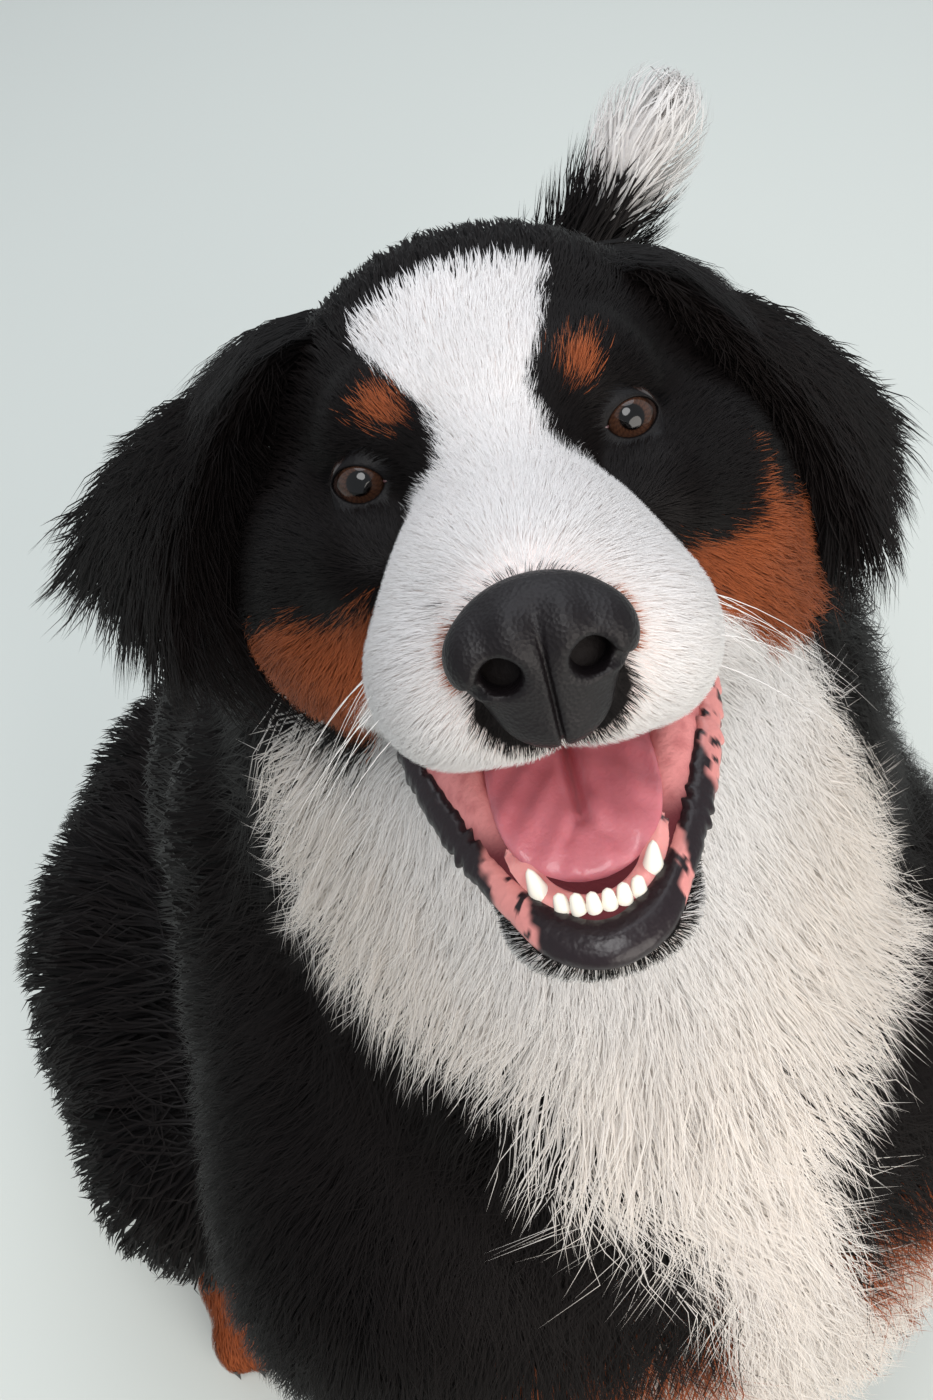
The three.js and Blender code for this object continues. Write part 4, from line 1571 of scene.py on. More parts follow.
@dataclass
class Coat:
    """The coat: tufts over the skin, in locks that follow its lie."""

    flesh: Flesh
    close: Flesh
    hide: Hide

    def depth(self, p: Array) -> Array:
        """The coat's depth at points on the skin.

        Args:
            p: points in mm.

        Returns:
            The depths.
        """
        inside = self._in_block(p)
        coat = np.where(inside, self.close.read(p)[1], self.flesh.read(p)[1])
        return np.where(inside, np.minimum(coat, face_depth(HEAD.into(p))), coat)

    def density(self, p: Array) -> Array:
        """Tufts a square mm at points on the skin.

        Args:
            p: points in mm.

        Returns:
            The densities.
        """
        coat = self.depth(p)
        made = self.cover(p, coat) / (LONG.length(coat) * LONG.width(coat, self.fineness(p)))
        return np.where(self.bare(p), 0.0, made)

    def cover(self, p: Array, coat: Array) -> Array:
        """How many tufts lie over each other: most on the front, few where the dog rests.

        Args:
            p: points in mm.
            coat: depth of the coat there.

        Returns:
            The layers of tufts at each.
        """
        made = read_off(coat, (4, 4.4), (9, 5.2), (16, 6.2)) * np.where(p[:, 2] < 4.0, 0.25, 1.0)
        front = self.front(p)
        return made * (0.8 + 0.2 * front + 0.7 * front * ramp(coat, 9.0, 20.0))

    def front(self, p: Array) -> Array:
        """1 on the head, the neck and the breast, falling to 0 behind and below them."""
        return ramp(-p[:, 1], -60.0, 40.0) * ramp(p[:, 2], 300.0, 420.0)

    def fineness(self, p: Array) -> Array:
        """Share of the plain width of tufts: finer on the head, the neck and the breast."""
        return 1.5 - 1.06 * self.front(p)

    def _in_block(self, p: Array) -> Array:
        """Which points are inside the head's own lattice."""
        low, high = head_block(36.0)
        return np.all((p > low) & (p < high), axis=1)

    def bare(self, p: Array) -> Array:
        """Where nothing grows: mouth, eyes and nose.

        Args:
            p: points in mm.

        Returns:
            True where nothing grows.
        """
        h = HEAD.into(p)
        eye = ((np.abs(h[:, 0]) - 44) / 11.0) ** 2 + ((h[:, 2] - 0.5) / 8.2) ** 2 < 1
        eye &= h[:, 1] > -8
        pad = melt(NOSE.pad.gap(h), NOSE.chin.gap(h), 7) < -0.6
        near_lip = (lip_gap(h) < 0.0) & (h[:, 2] < -60)
        return eye | pad | near_lip | ((mouth_gap(p) < 2.2) & (h[:, 1] > -40) & (h[:, 2] < -40))

    def _read(self, roots: Roots, p: Array, height: Array) -> tuple[Array, Array]:
        """Settles points at heights over the skin, and gives the directions there.

        Args:
            roots: where the hair at the points grows.
            p: points in mm.
            height: heights over the skin.

        Returns:
            The points, and the directions away from the skin.
        """
        head = self._in_block(p) & (roots.near <= Part.JAW)
        out, normal = p.copy(), np.zeros_like(p)
        for chosen, flesh in ((head, self.close), (~head, self.flesh)):
            if chosen.any():
                q = p[chosen]
                n = flesh.normal(q)
                gap, coat = flesh.read(q)
                step = gap - SKIN_SHARE * coat - height[chosen]
                out[chosen] = q - n * np.clip(step, -14.0, 14.0)[:, None]
                normal[chosen] = n
        out[:, 2] = np.maximum(out[:, 2], LEAST_HEIGHT)
        return out, normal

    def comb(self, roots: Roots, growth: Growth, chance: np.random.Generator) -> Tufts:
        """Lays one tuft from each root along the coat's lie.

        Args:
            roots: where the tufts grow.
            growth: their kind.
            chance: the seeded source of their variation.

        Returns:
            The tufts.
        """
        count = len(roots.at)
        h = HEAD.into(roots.at)
        eye = np.sqrt(((np.abs(h[:, 0]) - 44) / 13.0) ** 2 + (h[:, 2] / 10.0) ** 2)
        spare = np.where((h[:, 1] > -20) & (h[:, 1] < 60), 0.45 + 0.55 * ramp(eye, 1.0, 2.4), 1.0)
        by_nose = ramp(melt(NOSE.pad.gap(h), NOSE.chin.gap(h), 7), 0.0, 13.0)
        spare *= 0.32 + 0.68 * by_nose
        length = growth.length(roots.coat) * (0.75 + 0.5 * chance.random(count)) * spare
        lift = 0.82 + 0.3 * chance.random(count)
        lie = lie_of(roots.at, roots.near)
        lie = unit(lie + 0.16 * chance.normal(size=(count, 3)))
        step = length / growth.steps
        q, normal = self._read(roots, roots.at, np.full(count, -0.3))
        path, normals = [q], [normal]
        for k in range(1, growth.steps + 1):
            along = unit(lie - normal * np.sum(lie * normal, axis=1, keepdims=True))
            height = roots.coat * (1.0 - SKIN_SHARE) * lift * growth.rise[k]
            q, normal = self._read(roots, q + along * step[:, None], height)
            path.append(q)
            normals.append(normal)
        path, normals = np.stack(path, axis=1), np.stack(normals, axis=1)
        guides = np.flatnonzero(chance.random(count) < 1.0 / growth.per_lock)
        if len(guides) > 4:
            path = draw_together(path, normals, guides, growth, roots, chance)
        width = growth.width(roots.coat, roots.fine) * (0.7 + 0.6 * chance.random(count))
        width *= 0.62 + 0.38 * by_nose
        seen = path[:, growth.steps // 2 + 1]
        stray = chance.normal(size=count) * (1.2 + 0.05 * roots.coat)
        tone = MARKINGS.tones(seen, roots.near, stray, roots.at)
        vary = np.where(tone == WHITE, 0.35, 1.0)
        shade = 1.0 - vary * (0.2 - 0.36 * chance.random(count) - 0.08 * sway(roots.at, 60.0))
        cream = 0.85 * ramp(roots.coat, 12.0, 40.0) * (tone == WHITE)
        cream = cream * (0.55 + 0.45 * chance.random(count))
        cream = np.where(roots.near == Part.TAIL, 0.2 * (tone == WHITE), cream)
        return Tufts(path, normals, width, roots.uv, tone, shade, cream)

    def build(self) -> list[bpy.types.Object]:
        """The coat's pieces, each of one colour and of one part of the body.

        Returns:
            The pieces.
        """
        chance = np.random.default_rng(4)
        at, uv = self.hide.draw(self.density, chance)
        near = nearest_body(at)
        coat = self.depth(at)
        roots = Roots(at, uv, coat, near, self.fineness(at))
        log.info("coat: %d roots", len(at))
        parts = {
            "head": near <= Part.JAW,
            "neck": near == Part.NECK,
            "body": near == Part.TRUNK,
            "haunches": near == Part.THIGH,
            "legs": (near >= Part.FORELEG) & (near <= Part.HIND_FEET),
            "tail": near == Part.TAIL,
        }
        made = []
        broad = roots.fine > 0.9
        kinds = (
            (SHORT, coat < 9.0), (LONG, (coat >= 9.0) & ~broad), (BROAD, (coat >= 9.0) & broad),
        )
        for growth, sized in kinds:
            chosen = roots.pick(sized)
            tufts = self.comb(chosen, growth, np.random.default_rng(growth.seed))
            each = 2 * growth.steps - 1
            for part, inside in parts.items():
                for tone, kind in enumerate(TONES):
                    mask = np.flatnonzero(inside[sized] & (tufts.tone == tone))
                    if len(mask) < 3:
                        continue
                    chunks = math.ceil(len(mask) * each / PIECE_MOST)
                    for k, some in enumerate(np.array_split(mask, chunks)):
                        some_tufts = Tufts(*(getattr(tufts, f)[some] for f in (
                            "path", "normal", "width", "uv", "tone", "shade", "cream")))
                        name = f"coat_{part}_{kind.name.lower()}_{growth.name}_{k + 1}"
                        piece = tuft_object(name, some_tufts, growth.taper)
                        made.append(finish_piece(piece, HAIR, kind.value[0], shading=Shading.COMBED))
        return made


def outwards(piece: bpy.types.Object) -> None:
    """Turns a closed piece's faces outwards.

    Args:
        piece: the piece.
    """
    only(piece)
    bpy.ops.object.mode_set(mode="EDIT")
    bpy.ops.mesh.select_all(action="SELECT")
    bpy.ops.mesh.normals_make_consistent(inside=False)
    bpy.ops.object.mode_set(mode="OBJECT")


def tube(name: str, rings: Array) -> bpy.types.Object:
    """A closed piece from rings of points, one after another, given in the head's frame.

    Args:
        name: name of the piece.
        rings: points by ring and place.

    Returns:
        The piece.
    """
    count, sides = rings.shape[:2]
    ends = np.stack([rings[0].mean(axis=0), rings[-1].mean(axis=0)])
    points = HEAD.out(np.concatenate([rings.reshape(-1, 3), ends]))
    quads, caps = [], []
    for i in range(count - 1):
        for j in range(sides):
            k = (j + 1) % sides
            quads += [i * sides + j, i * sides + k, (i + 1) * sides + k, (i + 1) * sides + j]
    last = count * sides
    for j in range(sides):
        k = (j + 1) % sides
        caps += [last, k, j, last + 1, last - sides + j, last - sides + k]
    sizes = np.array([4] * ((count - 1) * sides) + [3] * (2 * sides))
    piece = new_mesh(name, points, np.array(quads + caps), sizes)
    outwards(piece)
    return piece


def smooth_run(stops: Sequence[Sequence[float]], count: int) -> Array:
    """Rows read at even steps along stops, with the bends between them rounded off.

    Args:
        stops: rows of values.
        count: rows made.

    Returns:
        The rows.
    """
    table = np.array(stops, float)
    at = np.linspace(0, len(table) - 1, count)
    i = np.clip(at.astype(int), 0, len(table) - 2)
    t = (at - i)[:, None]
    wide = np.concatenate([2 * table[:1] - table[1:2], table, 2 * table[-1:] - table[-2:-1]])
    a, b, c, d = (wide[i + k] for k in range(4))
    bend = (2 * a - 5 * b + 4 * c - d) * t + (3 * (b - c) + d - a) * t**2
    return b + 0.5 * t * ((c - a) + bend)


def band(name: str, stops: Sequence[Sequence[float]], count: int, ripple: float) -> bpy.types.Object:
    """A fleshy band along a mirrored run of stops, from one corner of the mouth to the other.

    Args:
        name: name of the piece.
        stops: from the middle to the left corner: centre, across direction, half width, half depth.
        count: rings made.
        ripple: mm that its edges wave in and out by.

    Returns:
        The piece.
    """
    left = np.array(stops, float)
    right = left[:0:-1] * np.array([-1, 1, 1, -1, 1, 1, 1, 1])
    run = smooth_run(np.concatenate([right, left]), count)
    centre, across = run[:, :3], unit(run[:, 3:6])
    along = unit(np.gradient(centre, axis=0))
    out = unit(np.cross(along, across))
    turn = np.linspace(0, 2 * np.pi, 20, endpoint=False)
    beat = np.cumsum(np.linalg.norm(np.gradient(centre, axis=0), axis=1)) * 2 * np.pi / 9.0
    wave = np.sin(beat + 1.4 * np.sin(0.37 * beat)) + 0.6 * np.sin(1.9 * beat + 1)
    wave *= ripple * ramp(np.abs(centre[:, 0]), 22, 40) * (0.6 + 0.4 * np.sin(0.23 * beat))
    rings = []
    for k in range(count):
        c, s = np.cos(turn)[:, None], np.sin(turn)[:, None]
        rings.append(centre[k] + across[k] * c * (run[k, 6] + wave[k]) + out[k] * s * run[k, 7])
    return tube(name, np.stack(rings))


def blob(
    name: str, gap: Callable[[Array], Array], low: Point, high: Point, cell: float
) -> bpy.types.Object:
    """A piece meshed from distances given in the head's frame.

    Args:
        name: name of the piece.
        gap: gives the distances.
        low: one corner of its block.
        high: the other corner.
        cell: spacing of its lattice.

    Returns:
        The piece.
    """
    axes = [np.arange(a, b, cell) for a, b in zip(low, high)]
    grid_points = np.stack(np.meshgrid(*axes, indexing="ij"), axis=-1)
    field_values = gap(grid_points.reshape(-1, 3)).reshape(grid_points.shape[:3])
    grid = openvdb.FloatGrid(50.0)
    grid.copyFromArray(field_values.astype(np.float32))
    points, quads = grid.convertToQuads(0.0)[:2]
    points = HEAD.out(points * cell + np.array(low))
    piece = new_mesh(name, points, quads.ravel(), np.full(len(quads), 4))
    outwards(piece)
    return piece


def nose_pad() -> bpy.types.Object:
    """The nose pad.

    Returns:
        The piece.
    """
    piece = blob("nose_pad", NOSE.gap, (-28.875, 100, -80), (29, 143, -18), 0.75)
    only(piece)
    relax = piece.modifiers.new("relax", "SMOOTH")
    relax.iterations = 2
    bpy.ops.object.modifier_apply(modifier=relax.name)
    return finish_piece(piece, NOSE_LEATHER, "nose_leather", "nose")


@dataclass(frozen=True)
class Eye:
    """One eye: the ball with its iris, the lids round it and the pink of its inner corner."""

    side: int
    node: str
    iris: float = 41.0
    pupil: float = 20.0
    half: tuple[float, float] = (8.6, 5.9)

    def centre(self) -> Array:
        """Its centre in the head's frame."""
        return np.array([EYE_OUT * self.side, 0.0, 0.0])

    def _ball(self) -> bpy.types.Object:
        """The ball, tinted by the angle from where it looks.

        Returns:
            The piece.
        """
        bpy.ops.mesh.primitive_uv_sphere_add(segments=64, ring_count=96, radius=EYE_R * MM)
        piece = bpy.context.active_object
        piece.name = self.node + "_ball"
        flat = np.zeros(len(piece.data.vertices) * 3, np.float32)
        piece.data.vertices.foreach_get("co", flat)
        p = flat.reshape(-1, 3).astype(float) / MM
        angle = np.degrees(np.arccos(np.clip(p[:, 2] / EYE_R, -1, 1)))
        swell = 1.0 + 0.085 * ramp(-angle, -self.iris - 3, -6)
        look = unit(np.array([0.12 * self.side, 1.0, 0.03]))
        right = unit(np.cross(look, np.array([0.0, 0.0, 1.0])))
        up = np.cross(right, look)
        local = (p[:, :1] * right + p[:, 1:2] * up + p[:, 2:] * look) * swell[:, None]
        move_points(piece, HEAD.out(self.centre() + local))
        outwards(piece)
        spoke = 0.5 + 0.5 * np.sin(np.arctan2(p[:, 1], p[:, 0]) * 23 + np.sin(angle))
        light = spoke[:, None] * 0.4
        iris = IRIS_DARK * (1 - light) + IRIS_LIGHT * light
        fade = ramp(angle, self.iris - 8, self.iris)[:, None]
        iris = iris * (1 - fade) + IRIS_RIM * fade
        hole = ramp(angle, self.pupil + 1.5, self.pupil - 0.5)[:, None]
        iris = iris * (1 - hole) + PUPIL * hole
        white = ramp(angle, self.iris, self.iris + 4)[:, None]
        paint(piece, iris * (1 - white) + EYE_WHITE * white)
        return finish_piece(piece, EYEBALL, "iris", self.node)

    def _ring(self, half: tuple[float, float], radius: float) -> Array:
        """A ring of the lids: an almond at a radius from the ball's middle.

        Args:
            half: half width and half height.
            radius: distance from the ball's middle.

        Returns:
            The ring's points in the head's frame.
        """
        turn = np.linspace(0, 2 * np.pi, 48, endpoint=False)
        a = half[0] * np.cos(turn)
        u = half[1] * np.sin(turn) * np.abs(np.sin(turn)) ** 0.22 + 0.10 * a
        g = np.sqrt(np.maximum(radius**2 - a**2 - u**2, 1.0))
        front, wide = np.array([0.22, 0.975, 0.0]), np.array([0.975, -0.22, 0.0])
        made = a[:, None] * wide + u[:, None] * np.array([0, 0, 1.0]) + g[:, None] * front
        return self.centre() + made * np.array([self.side, 1, 1])

    def _lids(self, close: Flesh) -> bpy.types.Object:
        """The lids, from their rims on the ball out to the skin.

        Args:
            close: the head's flesh.

        Returns:
            The piece.
        """
        w, t = self.half
        rims = [self._ring((w, t), EYE_R + 0.1), self._ring((w * 1.02, t * 1.04), EYE_R + 1.2),
                self._ring((w * 1.12, t * 1.2), EYE_R + 1.7)]
        outer = []
        for half, sink in (((13.6, 11.6), -0.1), ((17.5, 15.0), -1.2)):
            start = HEAD.out(self._ring(half, 20.0))
            outer.append(HEAD.into(close.settle(start, SKIN_SHARE, sink, rounds=5)))
        middle = 0.5 * rims[-1] + 0.5 * outer[0]
        rings = np.stack([*rims, middle, *outer])
        count, sides = rings.shape[:2]
        quads = [
            (i * sides + j, i * sides + (j + 1) % sides, (i + 1) * sides + (j + 1) % sides,
             (i + 1) * sides + j)
            for i in range(count - 1)
            for j in range(sides)
        ]
        order = np.array(quads)[:, :: self.side]
        piece = new_mesh(self.node + "_lids", HEAD.out(rings.reshape(-1, 3)), order.ravel(),
                         np.full(len(quads), 4))
        only(piece)
        swell = piece.modifiers.new("round", "SUBSURF")
        swell.levels = swell.render_levels = 2
        bpy.ops.object.modifier_apply(modifier=swell.name)
        return finish_piece(piece, LID_SKIN, "lip_flesh")

    def _tear_duct(self) -> bpy.types.Object:
        """The small pink flesh in the inner corner.

        Returns:
            The piece.
        """
        bpy.ops.mesh.primitive_uv_sphere_add(segments=20, ring_count=12, radius=MM)
        piece = bpy.context.active_object
        piece.name = self.node + "_tear_duct"
        flat = np.zeros(len(piece.data.vertices) * 3, np.float32)
        piece.data.vertices.foreach_get("co", flat)
        p = flat.reshape(-1, 3).astype(float) / MM * np.array([1.3, 0.9, 0.8])
        corner = self.centre() + np.array([-7.4 * self.side, 10.1, -0.9])
        move_points(piece, HEAD.out(corner + p))
        outwards(piece)
        return finish_piece(piece, DUCT_FLESH, "tongue_flesh")

    def build(self, close: Flesh) -> list[bpy.types.Object]:
        """The eye's pieces."""
        return [self._ball(), self._lids(close), self._tear_duct()]


@dataclass(frozen=True)
class Mouth:
    """Tongue, gums and lips of the open mouth."""

    tongue_half: tuple[float, float, float] = (27.0, 44.0, 6.5)
    tongue_turn: float = 0.6

    def _tongue(self) -> bpy.types.Object:
        """The tongue: broad and flat, with a groove and softly rolled edges.

        Returns:
            The piece.
        """
        wide, long, deep = self.tongue_half
        c, s = math.cos(self.tongue_turn), math.sin(self.tongue_turn)
        turn = np.linspace(0, 2 * np.pi, 96, endpoint=False)
        rings = []
        for t in np.linspace(-0.995, 0.995, 80):
            share = (1.0 - abs(t) ** 3.4) ** 0.5 if t > 0 else (1.0 - abs(t) ** 6) ** 0.5
            x = wide * share * np.cos(turn)
            h = deep * share**0.6 * np.sin(turn) * (0.9 + 0.1 * np.cos(2 * turn))
            top = np.sin(turn) > 0
            h += 0.0042 * x**2 + 2.5 * ramp(-np.abs(t), -1.0, -0.4) - 1.0
            h -= np.where(top, 6.4 * np.exp(-((x / 2.1) ** 2)) * ramp(-t, -0.72, -0.3), 0)
            fold = np.abs(x) * 0.42 - 7 * t
            crease = 0.9 * np.sin(fold) * np.sin(9 * t + 0.1 * x) * ramp(np.abs(x), 1.5, 6)
            fork = np.exp(-(((np.abs(x) - 26 * (t - 0.5)) / 1.3) ** 2)) * ramp(t, 0.48, 0.54)
            h += np.where(top, crease - 1.3 * fork * ramp(t, 0.8, 0.7), 0)
            along = long * t
            rings.append(np.stack([x, 30 + along * c + h * s, -102 - along * s + h * c], axis=1))
        return tube("tongue_body", np.stack(rings))

    def _tooth(
        self, name: str, root: Array, tip: Array, wide: float, deep: float, point: float
    ) -> bpy.types.Object:
        """A tooth: rounded rings from its root to its worn tip.

        Args:
            name: name of the piece.
            root: middle of its root in the head's frame.
            tip: its tip.
            wide: half width across the jaw.
            deep: half depth along the head.
            point: share of the width that is left near the tip.

        Returns:
            The tooth.
        """
        turn = np.linspace(0, 2 * np.pi, 18, endpoint=False)
        rings = []
        for t in np.linspace(0, 1, 12):
            share = (0.85 + 0.3 * math.sin(math.pi * min(t * 1.2, 1.0)) * (1 - t)) * (
                1 - (1 - point) * t**1.4
            )
            share *= math.sqrt(max(1 - max(t - 0.72, 0.0) ** 2 / 0.0785, 0.01))
            middle = root + (tip - root) * t + np.array([0, -1.6 * point * t * (1 - t), 0])
            ring = np.stack([wide * share * np.cos(turn), deep * share * np.sin(turn), 0 * turn], 1)
            rings.append(middle + ring)
        return tube(name, np.stack(rings))

    def _teeth(self) -> list[bpy.types.Object]:
        """Six incisors in one piece and the two canines.

        Returns:
            The pieces.
        """
        front = []
        for k in (-2.5, -1.5, -0.5, 0.5, 1.5, 2.5):
            root = np.array([k * 4.5, 77.5 - 0.62 * k * k, -134.0])
            tip = root + np.array([0.25 * k, 1.6, 8.0 + 0.25 * abs(k)])
            front.append(self._tooth("incisor", root, tip, 2.35 + 0.12 * abs(k), 2.1, 0.86))
        only(front[0])
        for tooth in front:
            tooth.select_set(True)
        bpy.ops.object.join()
        front[0].name = "front_teeth"
        made = [finish_piece(front[0], ENAMEL, "tooth_enamel", "incisors")]
        for side, node in ((1, "canine_left"), (-1, "canine_right")):
            root = np.array([side * 16.5, 66.0, -131.0])
            tip = root + np.array([side * 2.4, 2.6, 12.8])
            tooth = self._tooth(node + "_tooth", root, tip, 3.8, 4.0, 0.44)
            made.append(finish_piece(tooth, ENAMEL, "tooth_enamel", node))
        return made

    def build(self) -> list[bpy.types.Object]:
        """The mouth's pieces.

        Returns:
            The pieces.
        """
        lip = band("lower_lip", LIP_STOPS, 420, 0.9)
        paint(lip, lip_tint(HEAD.into(points_of(lip))))
        gum = band("lower_gum", GUM_STOPS, 260, 0.7)
        paint(gum, gum_tint(HEAD.into(points_of(gum))))
        return [
            finish_piece(self._tongue(), TONGUE_FLESH, "tongue_flesh", "tongue"),
            finish_piece(lip, LIP_FLESH, "lip_flesh"),
            finish_piece(gum, GUM_FLESH, "tongue_flesh"),
            *self._teeth(),
        ]


@dataclass(frozen=True)
class Ear:
    """One hanging ear: its flap and the long hair that falls over it and past its hem."""

    side: int
    node: str
    root: tuple[Point, Point]
    hem: tuple[Point, Point]
    crest: float
    seed: int
    deep: float = 0.72
    broad: float = 0.8
    thick: float = 3.2
    face: Point = (0.62, 0.72, 0.25)
    bulge: float = 10.0
    tufts: int = 10500
    crown_tufts: int = 3200
    length: float = 48.0
    width: float = 0.85

    def point(self, u: Array, v: Array) -> Array:
        """Points of the ear in the head's frame, from its root (u = 0) to its hem (u = 1).

        Args:
            u: places from root to hem.
            v: places from front to back.

        Returns:
            The points.
        """
        u, v = np.asarray(u, float), np.asarray(v, float)
        root, hem = np.array(self.root, float), np.array(self.hem, float)
        top = root[0] + (root[1] - root[0]) * v[..., None]
        low = hem[0] + (hem[1] - hem[0]) * v[..., None]
        p = top + (low - top) * u[..., None]
        bow = np.sin(np.pi * np.minimum(1, u * 0.9 + 0.05))
        p[..., 0] += bow * self.bulge
        p[..., 1] += bow * (16 * np.sin(np.pi * np.clip(v, 0, 1)) - 6)
        p[..., 2] += bow * self.crest * (0.3 + 0.7 * v)
        tuck = np.clip((0.2 - v) / 0.2, 0, 1.6) ** 2
        p[..., 0] -= 15 * tuck
        p[..., 1] -= 12 * tuck
        return p * np.array([self.side, 1, 1])

    def facing(self) -> Array:
        """The way its outer side faces, in the head's frame."""
        return unit(np.array(self.face) * np.array([self.side, 1, 1]))

    def _flap(self) -> bpy.types.Object:
        """The flap, as a thin closed leaf.

        Returns:
            The piece.
        """
        rows, turns = 26, 40
        angle = np.linspace(0, 2 * np.pi, turns, endpoint=False)
        rings = []
        for u in np.linspace(-0.1, self.deep, rows):
            half = 0.5 * self.broad * (0.72 + 0.28 * ramp(np.array(u), -0.1, 0.3))
            v = 0.5 * self.broad - half * np.cos(angle)
            lift = np.sin(angle) * self.thick * (1 - 0.5 * (abs(u) / self.deep) ** 3)
            rings.append(self.point(np.full(turns, u), v) + lift[:, None] * self.facing())
        return tube(self.node + "_flap", np.stack(rings))

    def _hair(self) -> bpy.types.Object:
        """The hair on both sides of the flap.

        Returns:
            The piece.
        """
        chance = np.random.default_rng(self.seed)
        n, levels = self.tufts, len(LONG.rise)
        u = -0.14 + (self.deep + 0.16) * chance.random(n) ** 0.9
        v = self.broad * (1.06 * chance.random(n))
        fronts = np.where(chance.random(n) < 0.62, 1.0, -1.0)
        size = self.length * (0.6 + 0.6 * chance.random(n)) * (0.55 + 0.45 * ramp(u, 0.0, 0.45))
        t = np.linspace(0, 1, levels)
        fan = (v - 0.38) * 0.42 * (0.5 + 0.9 * chance.random(n)) + 0.05 * chance.normal(size=n)
        waver = 0.05 * sway(self.point(u, v), 45.0)
        du = size / 150.0
        us = u[:, None] + du[:, None] * t
        vs = v[:, None] + (fan + waver)[:, None] * t
        arch = np.sin(np.pi * np.clip(t * 0.62 + 0.02, 0, 1))
        rise = (1.5 + 7.0 * chance.random(n))[:, None] * arch
        path = self.point(us, vs)
        path += (fronts[:, None] * (self.thick * 0.8 + rise))[..., None] * self.facing()
        normal = np.broadcast_to(self.facing(), path.shape) * fronts[:, None, None]
        path = HEAD.out(path)
        normal = unit(HEAD.turn(normal) + 0.25 * unit(np.gradient(path, axis=1)))
        spot = np.stack([u, v], axis=1)
        roots = Roots(path[:, 0], spot, np.full(n, 26.0), np.full(n, Part.SKULL), np.ones(n))
        guides = np.flatnonzero(chance.random(n) < 1.0 / LONG.per_lock)
        path = draw_together(path, normal, guides, LONG, roots, chance)
        width = self.width * (0.7 + 0.6 * chance.random(n))
        shade = 0.8 + 0.5 * chance.random(n)
        uv = np.stack([0.05 + 0.9 * v, 0.1 + 0.36 * u + 0.45 * (fronts < 0)], axis=1)
        tufts = Tufts(path, normal, width, uv, np.full(n, BLACK), shade, np.zeros(n))
        return tuft_object(f"coat_{self.node}", tufts, LONG.taper)

    def _crown(self, close: Flesh) -> bpy.types.Object:
        """Longer hair that falls from the crown over the ear's root.

        Args:
            close: the head's flesh.

        Returns:
            The piece.
        """
        chance = np.random.default_rng(self.seed + 50)
        n, levels = self.crown_tufts, len(LONG.rise)
        v = -0.12 + 1.1 * chance.random(n)
        in_by = 2.0 + 36.0 * chance.random(n)
        start = self.point(np.full(n, 0.02), v)
        start += in_by[:, None] * np.array([-0.8 * self.side, 0.1, 0.35])
        start = HEAD.into(close.settle(HEAD.out(start), SKIN_SHARE, -0.3, rounds=5))
        reach = 0.1 + 0.28 * chance.random(n)
        end = self.point(reach, v + 0.08 * chance.normal(size=n))
        end += (self.thick + 2.0 + 4.0 * chance.random(n))[:, None] * self.facing()
        lift = np.array([0.6 * self.side, 0.1, 1.0]) * (9.0 + 15.0 * chance.random(n))[:, None]
        t = np.linspace(0, 1, levels)[None, :, None]
        middle = (0.5 * (start + end) + lift)[:, None]
        path = start[:, None] * (1 - t) ** 2 + 2 * middle * t * (1 - t) + end[:, None] * t**2
        out = unit(np.array([0.6 * self.side, 0.45, 0.7]))
        normal = HEAD.turn(np.broadcast_to(out, path.shape).copy())
        path = HEAD.out(path)
        uv = np.stack([0.1 + in_by / 60, 0.15 + 0.8 * v], axis=1)
        roots = Roots(path[:, 0], uv, np.full(n, 26.0), np.full(n, Part.SKULL), np.ones(n))
        guides = np.flatnonzero(chance.random(n) < 1.0 / LONG.per_lock)
        path = draw_together(path, normal, guides, LONG, roots, chance)
        width = 0.75 * (0.7 + 0.6 * chance.random(n))
        shade = 0.8 + 0.5 * chance.random(n)
        tufts = Tufts(path, normal, width, roots.uv, np.full(n, BLACK), shade, np.zeros(n))
        return tuft_object(f"coat_crown_{self.node}", tufts, LONG.taper)

    def build(self, close: Flesh) -> list[bpy.types.Object]:
        """The ear's pieces.

        Args:
            close: the head's flesh.

        Returns:
            The pieces.
        """
        flap = self._flap()
        paint(flap, np.tile(EAR_SKIN, (len(flap.data.vertices), 1)))
        finish_piece(flap, HIDE, "black_coat", self.node)
        hair = [self._hair(), self._crown(close)]
        return [flap, *(finish_piece(h, HAIR, "black_coat", shading=Shading.COMBED) for h in hair)]


EARS = (
    Ear(1, "ear_left", ((74, -40, 30), (60, -104, 42)), ((118, -46, -98), (158, -124, -44)), 16, 21),
    Ear(-1, "ear_right", ((74, -40, 36), (60, -104, 44)), ((115, -40, -84), (184, -122, -24)), 20, 22,
        bulge=13.0),
)


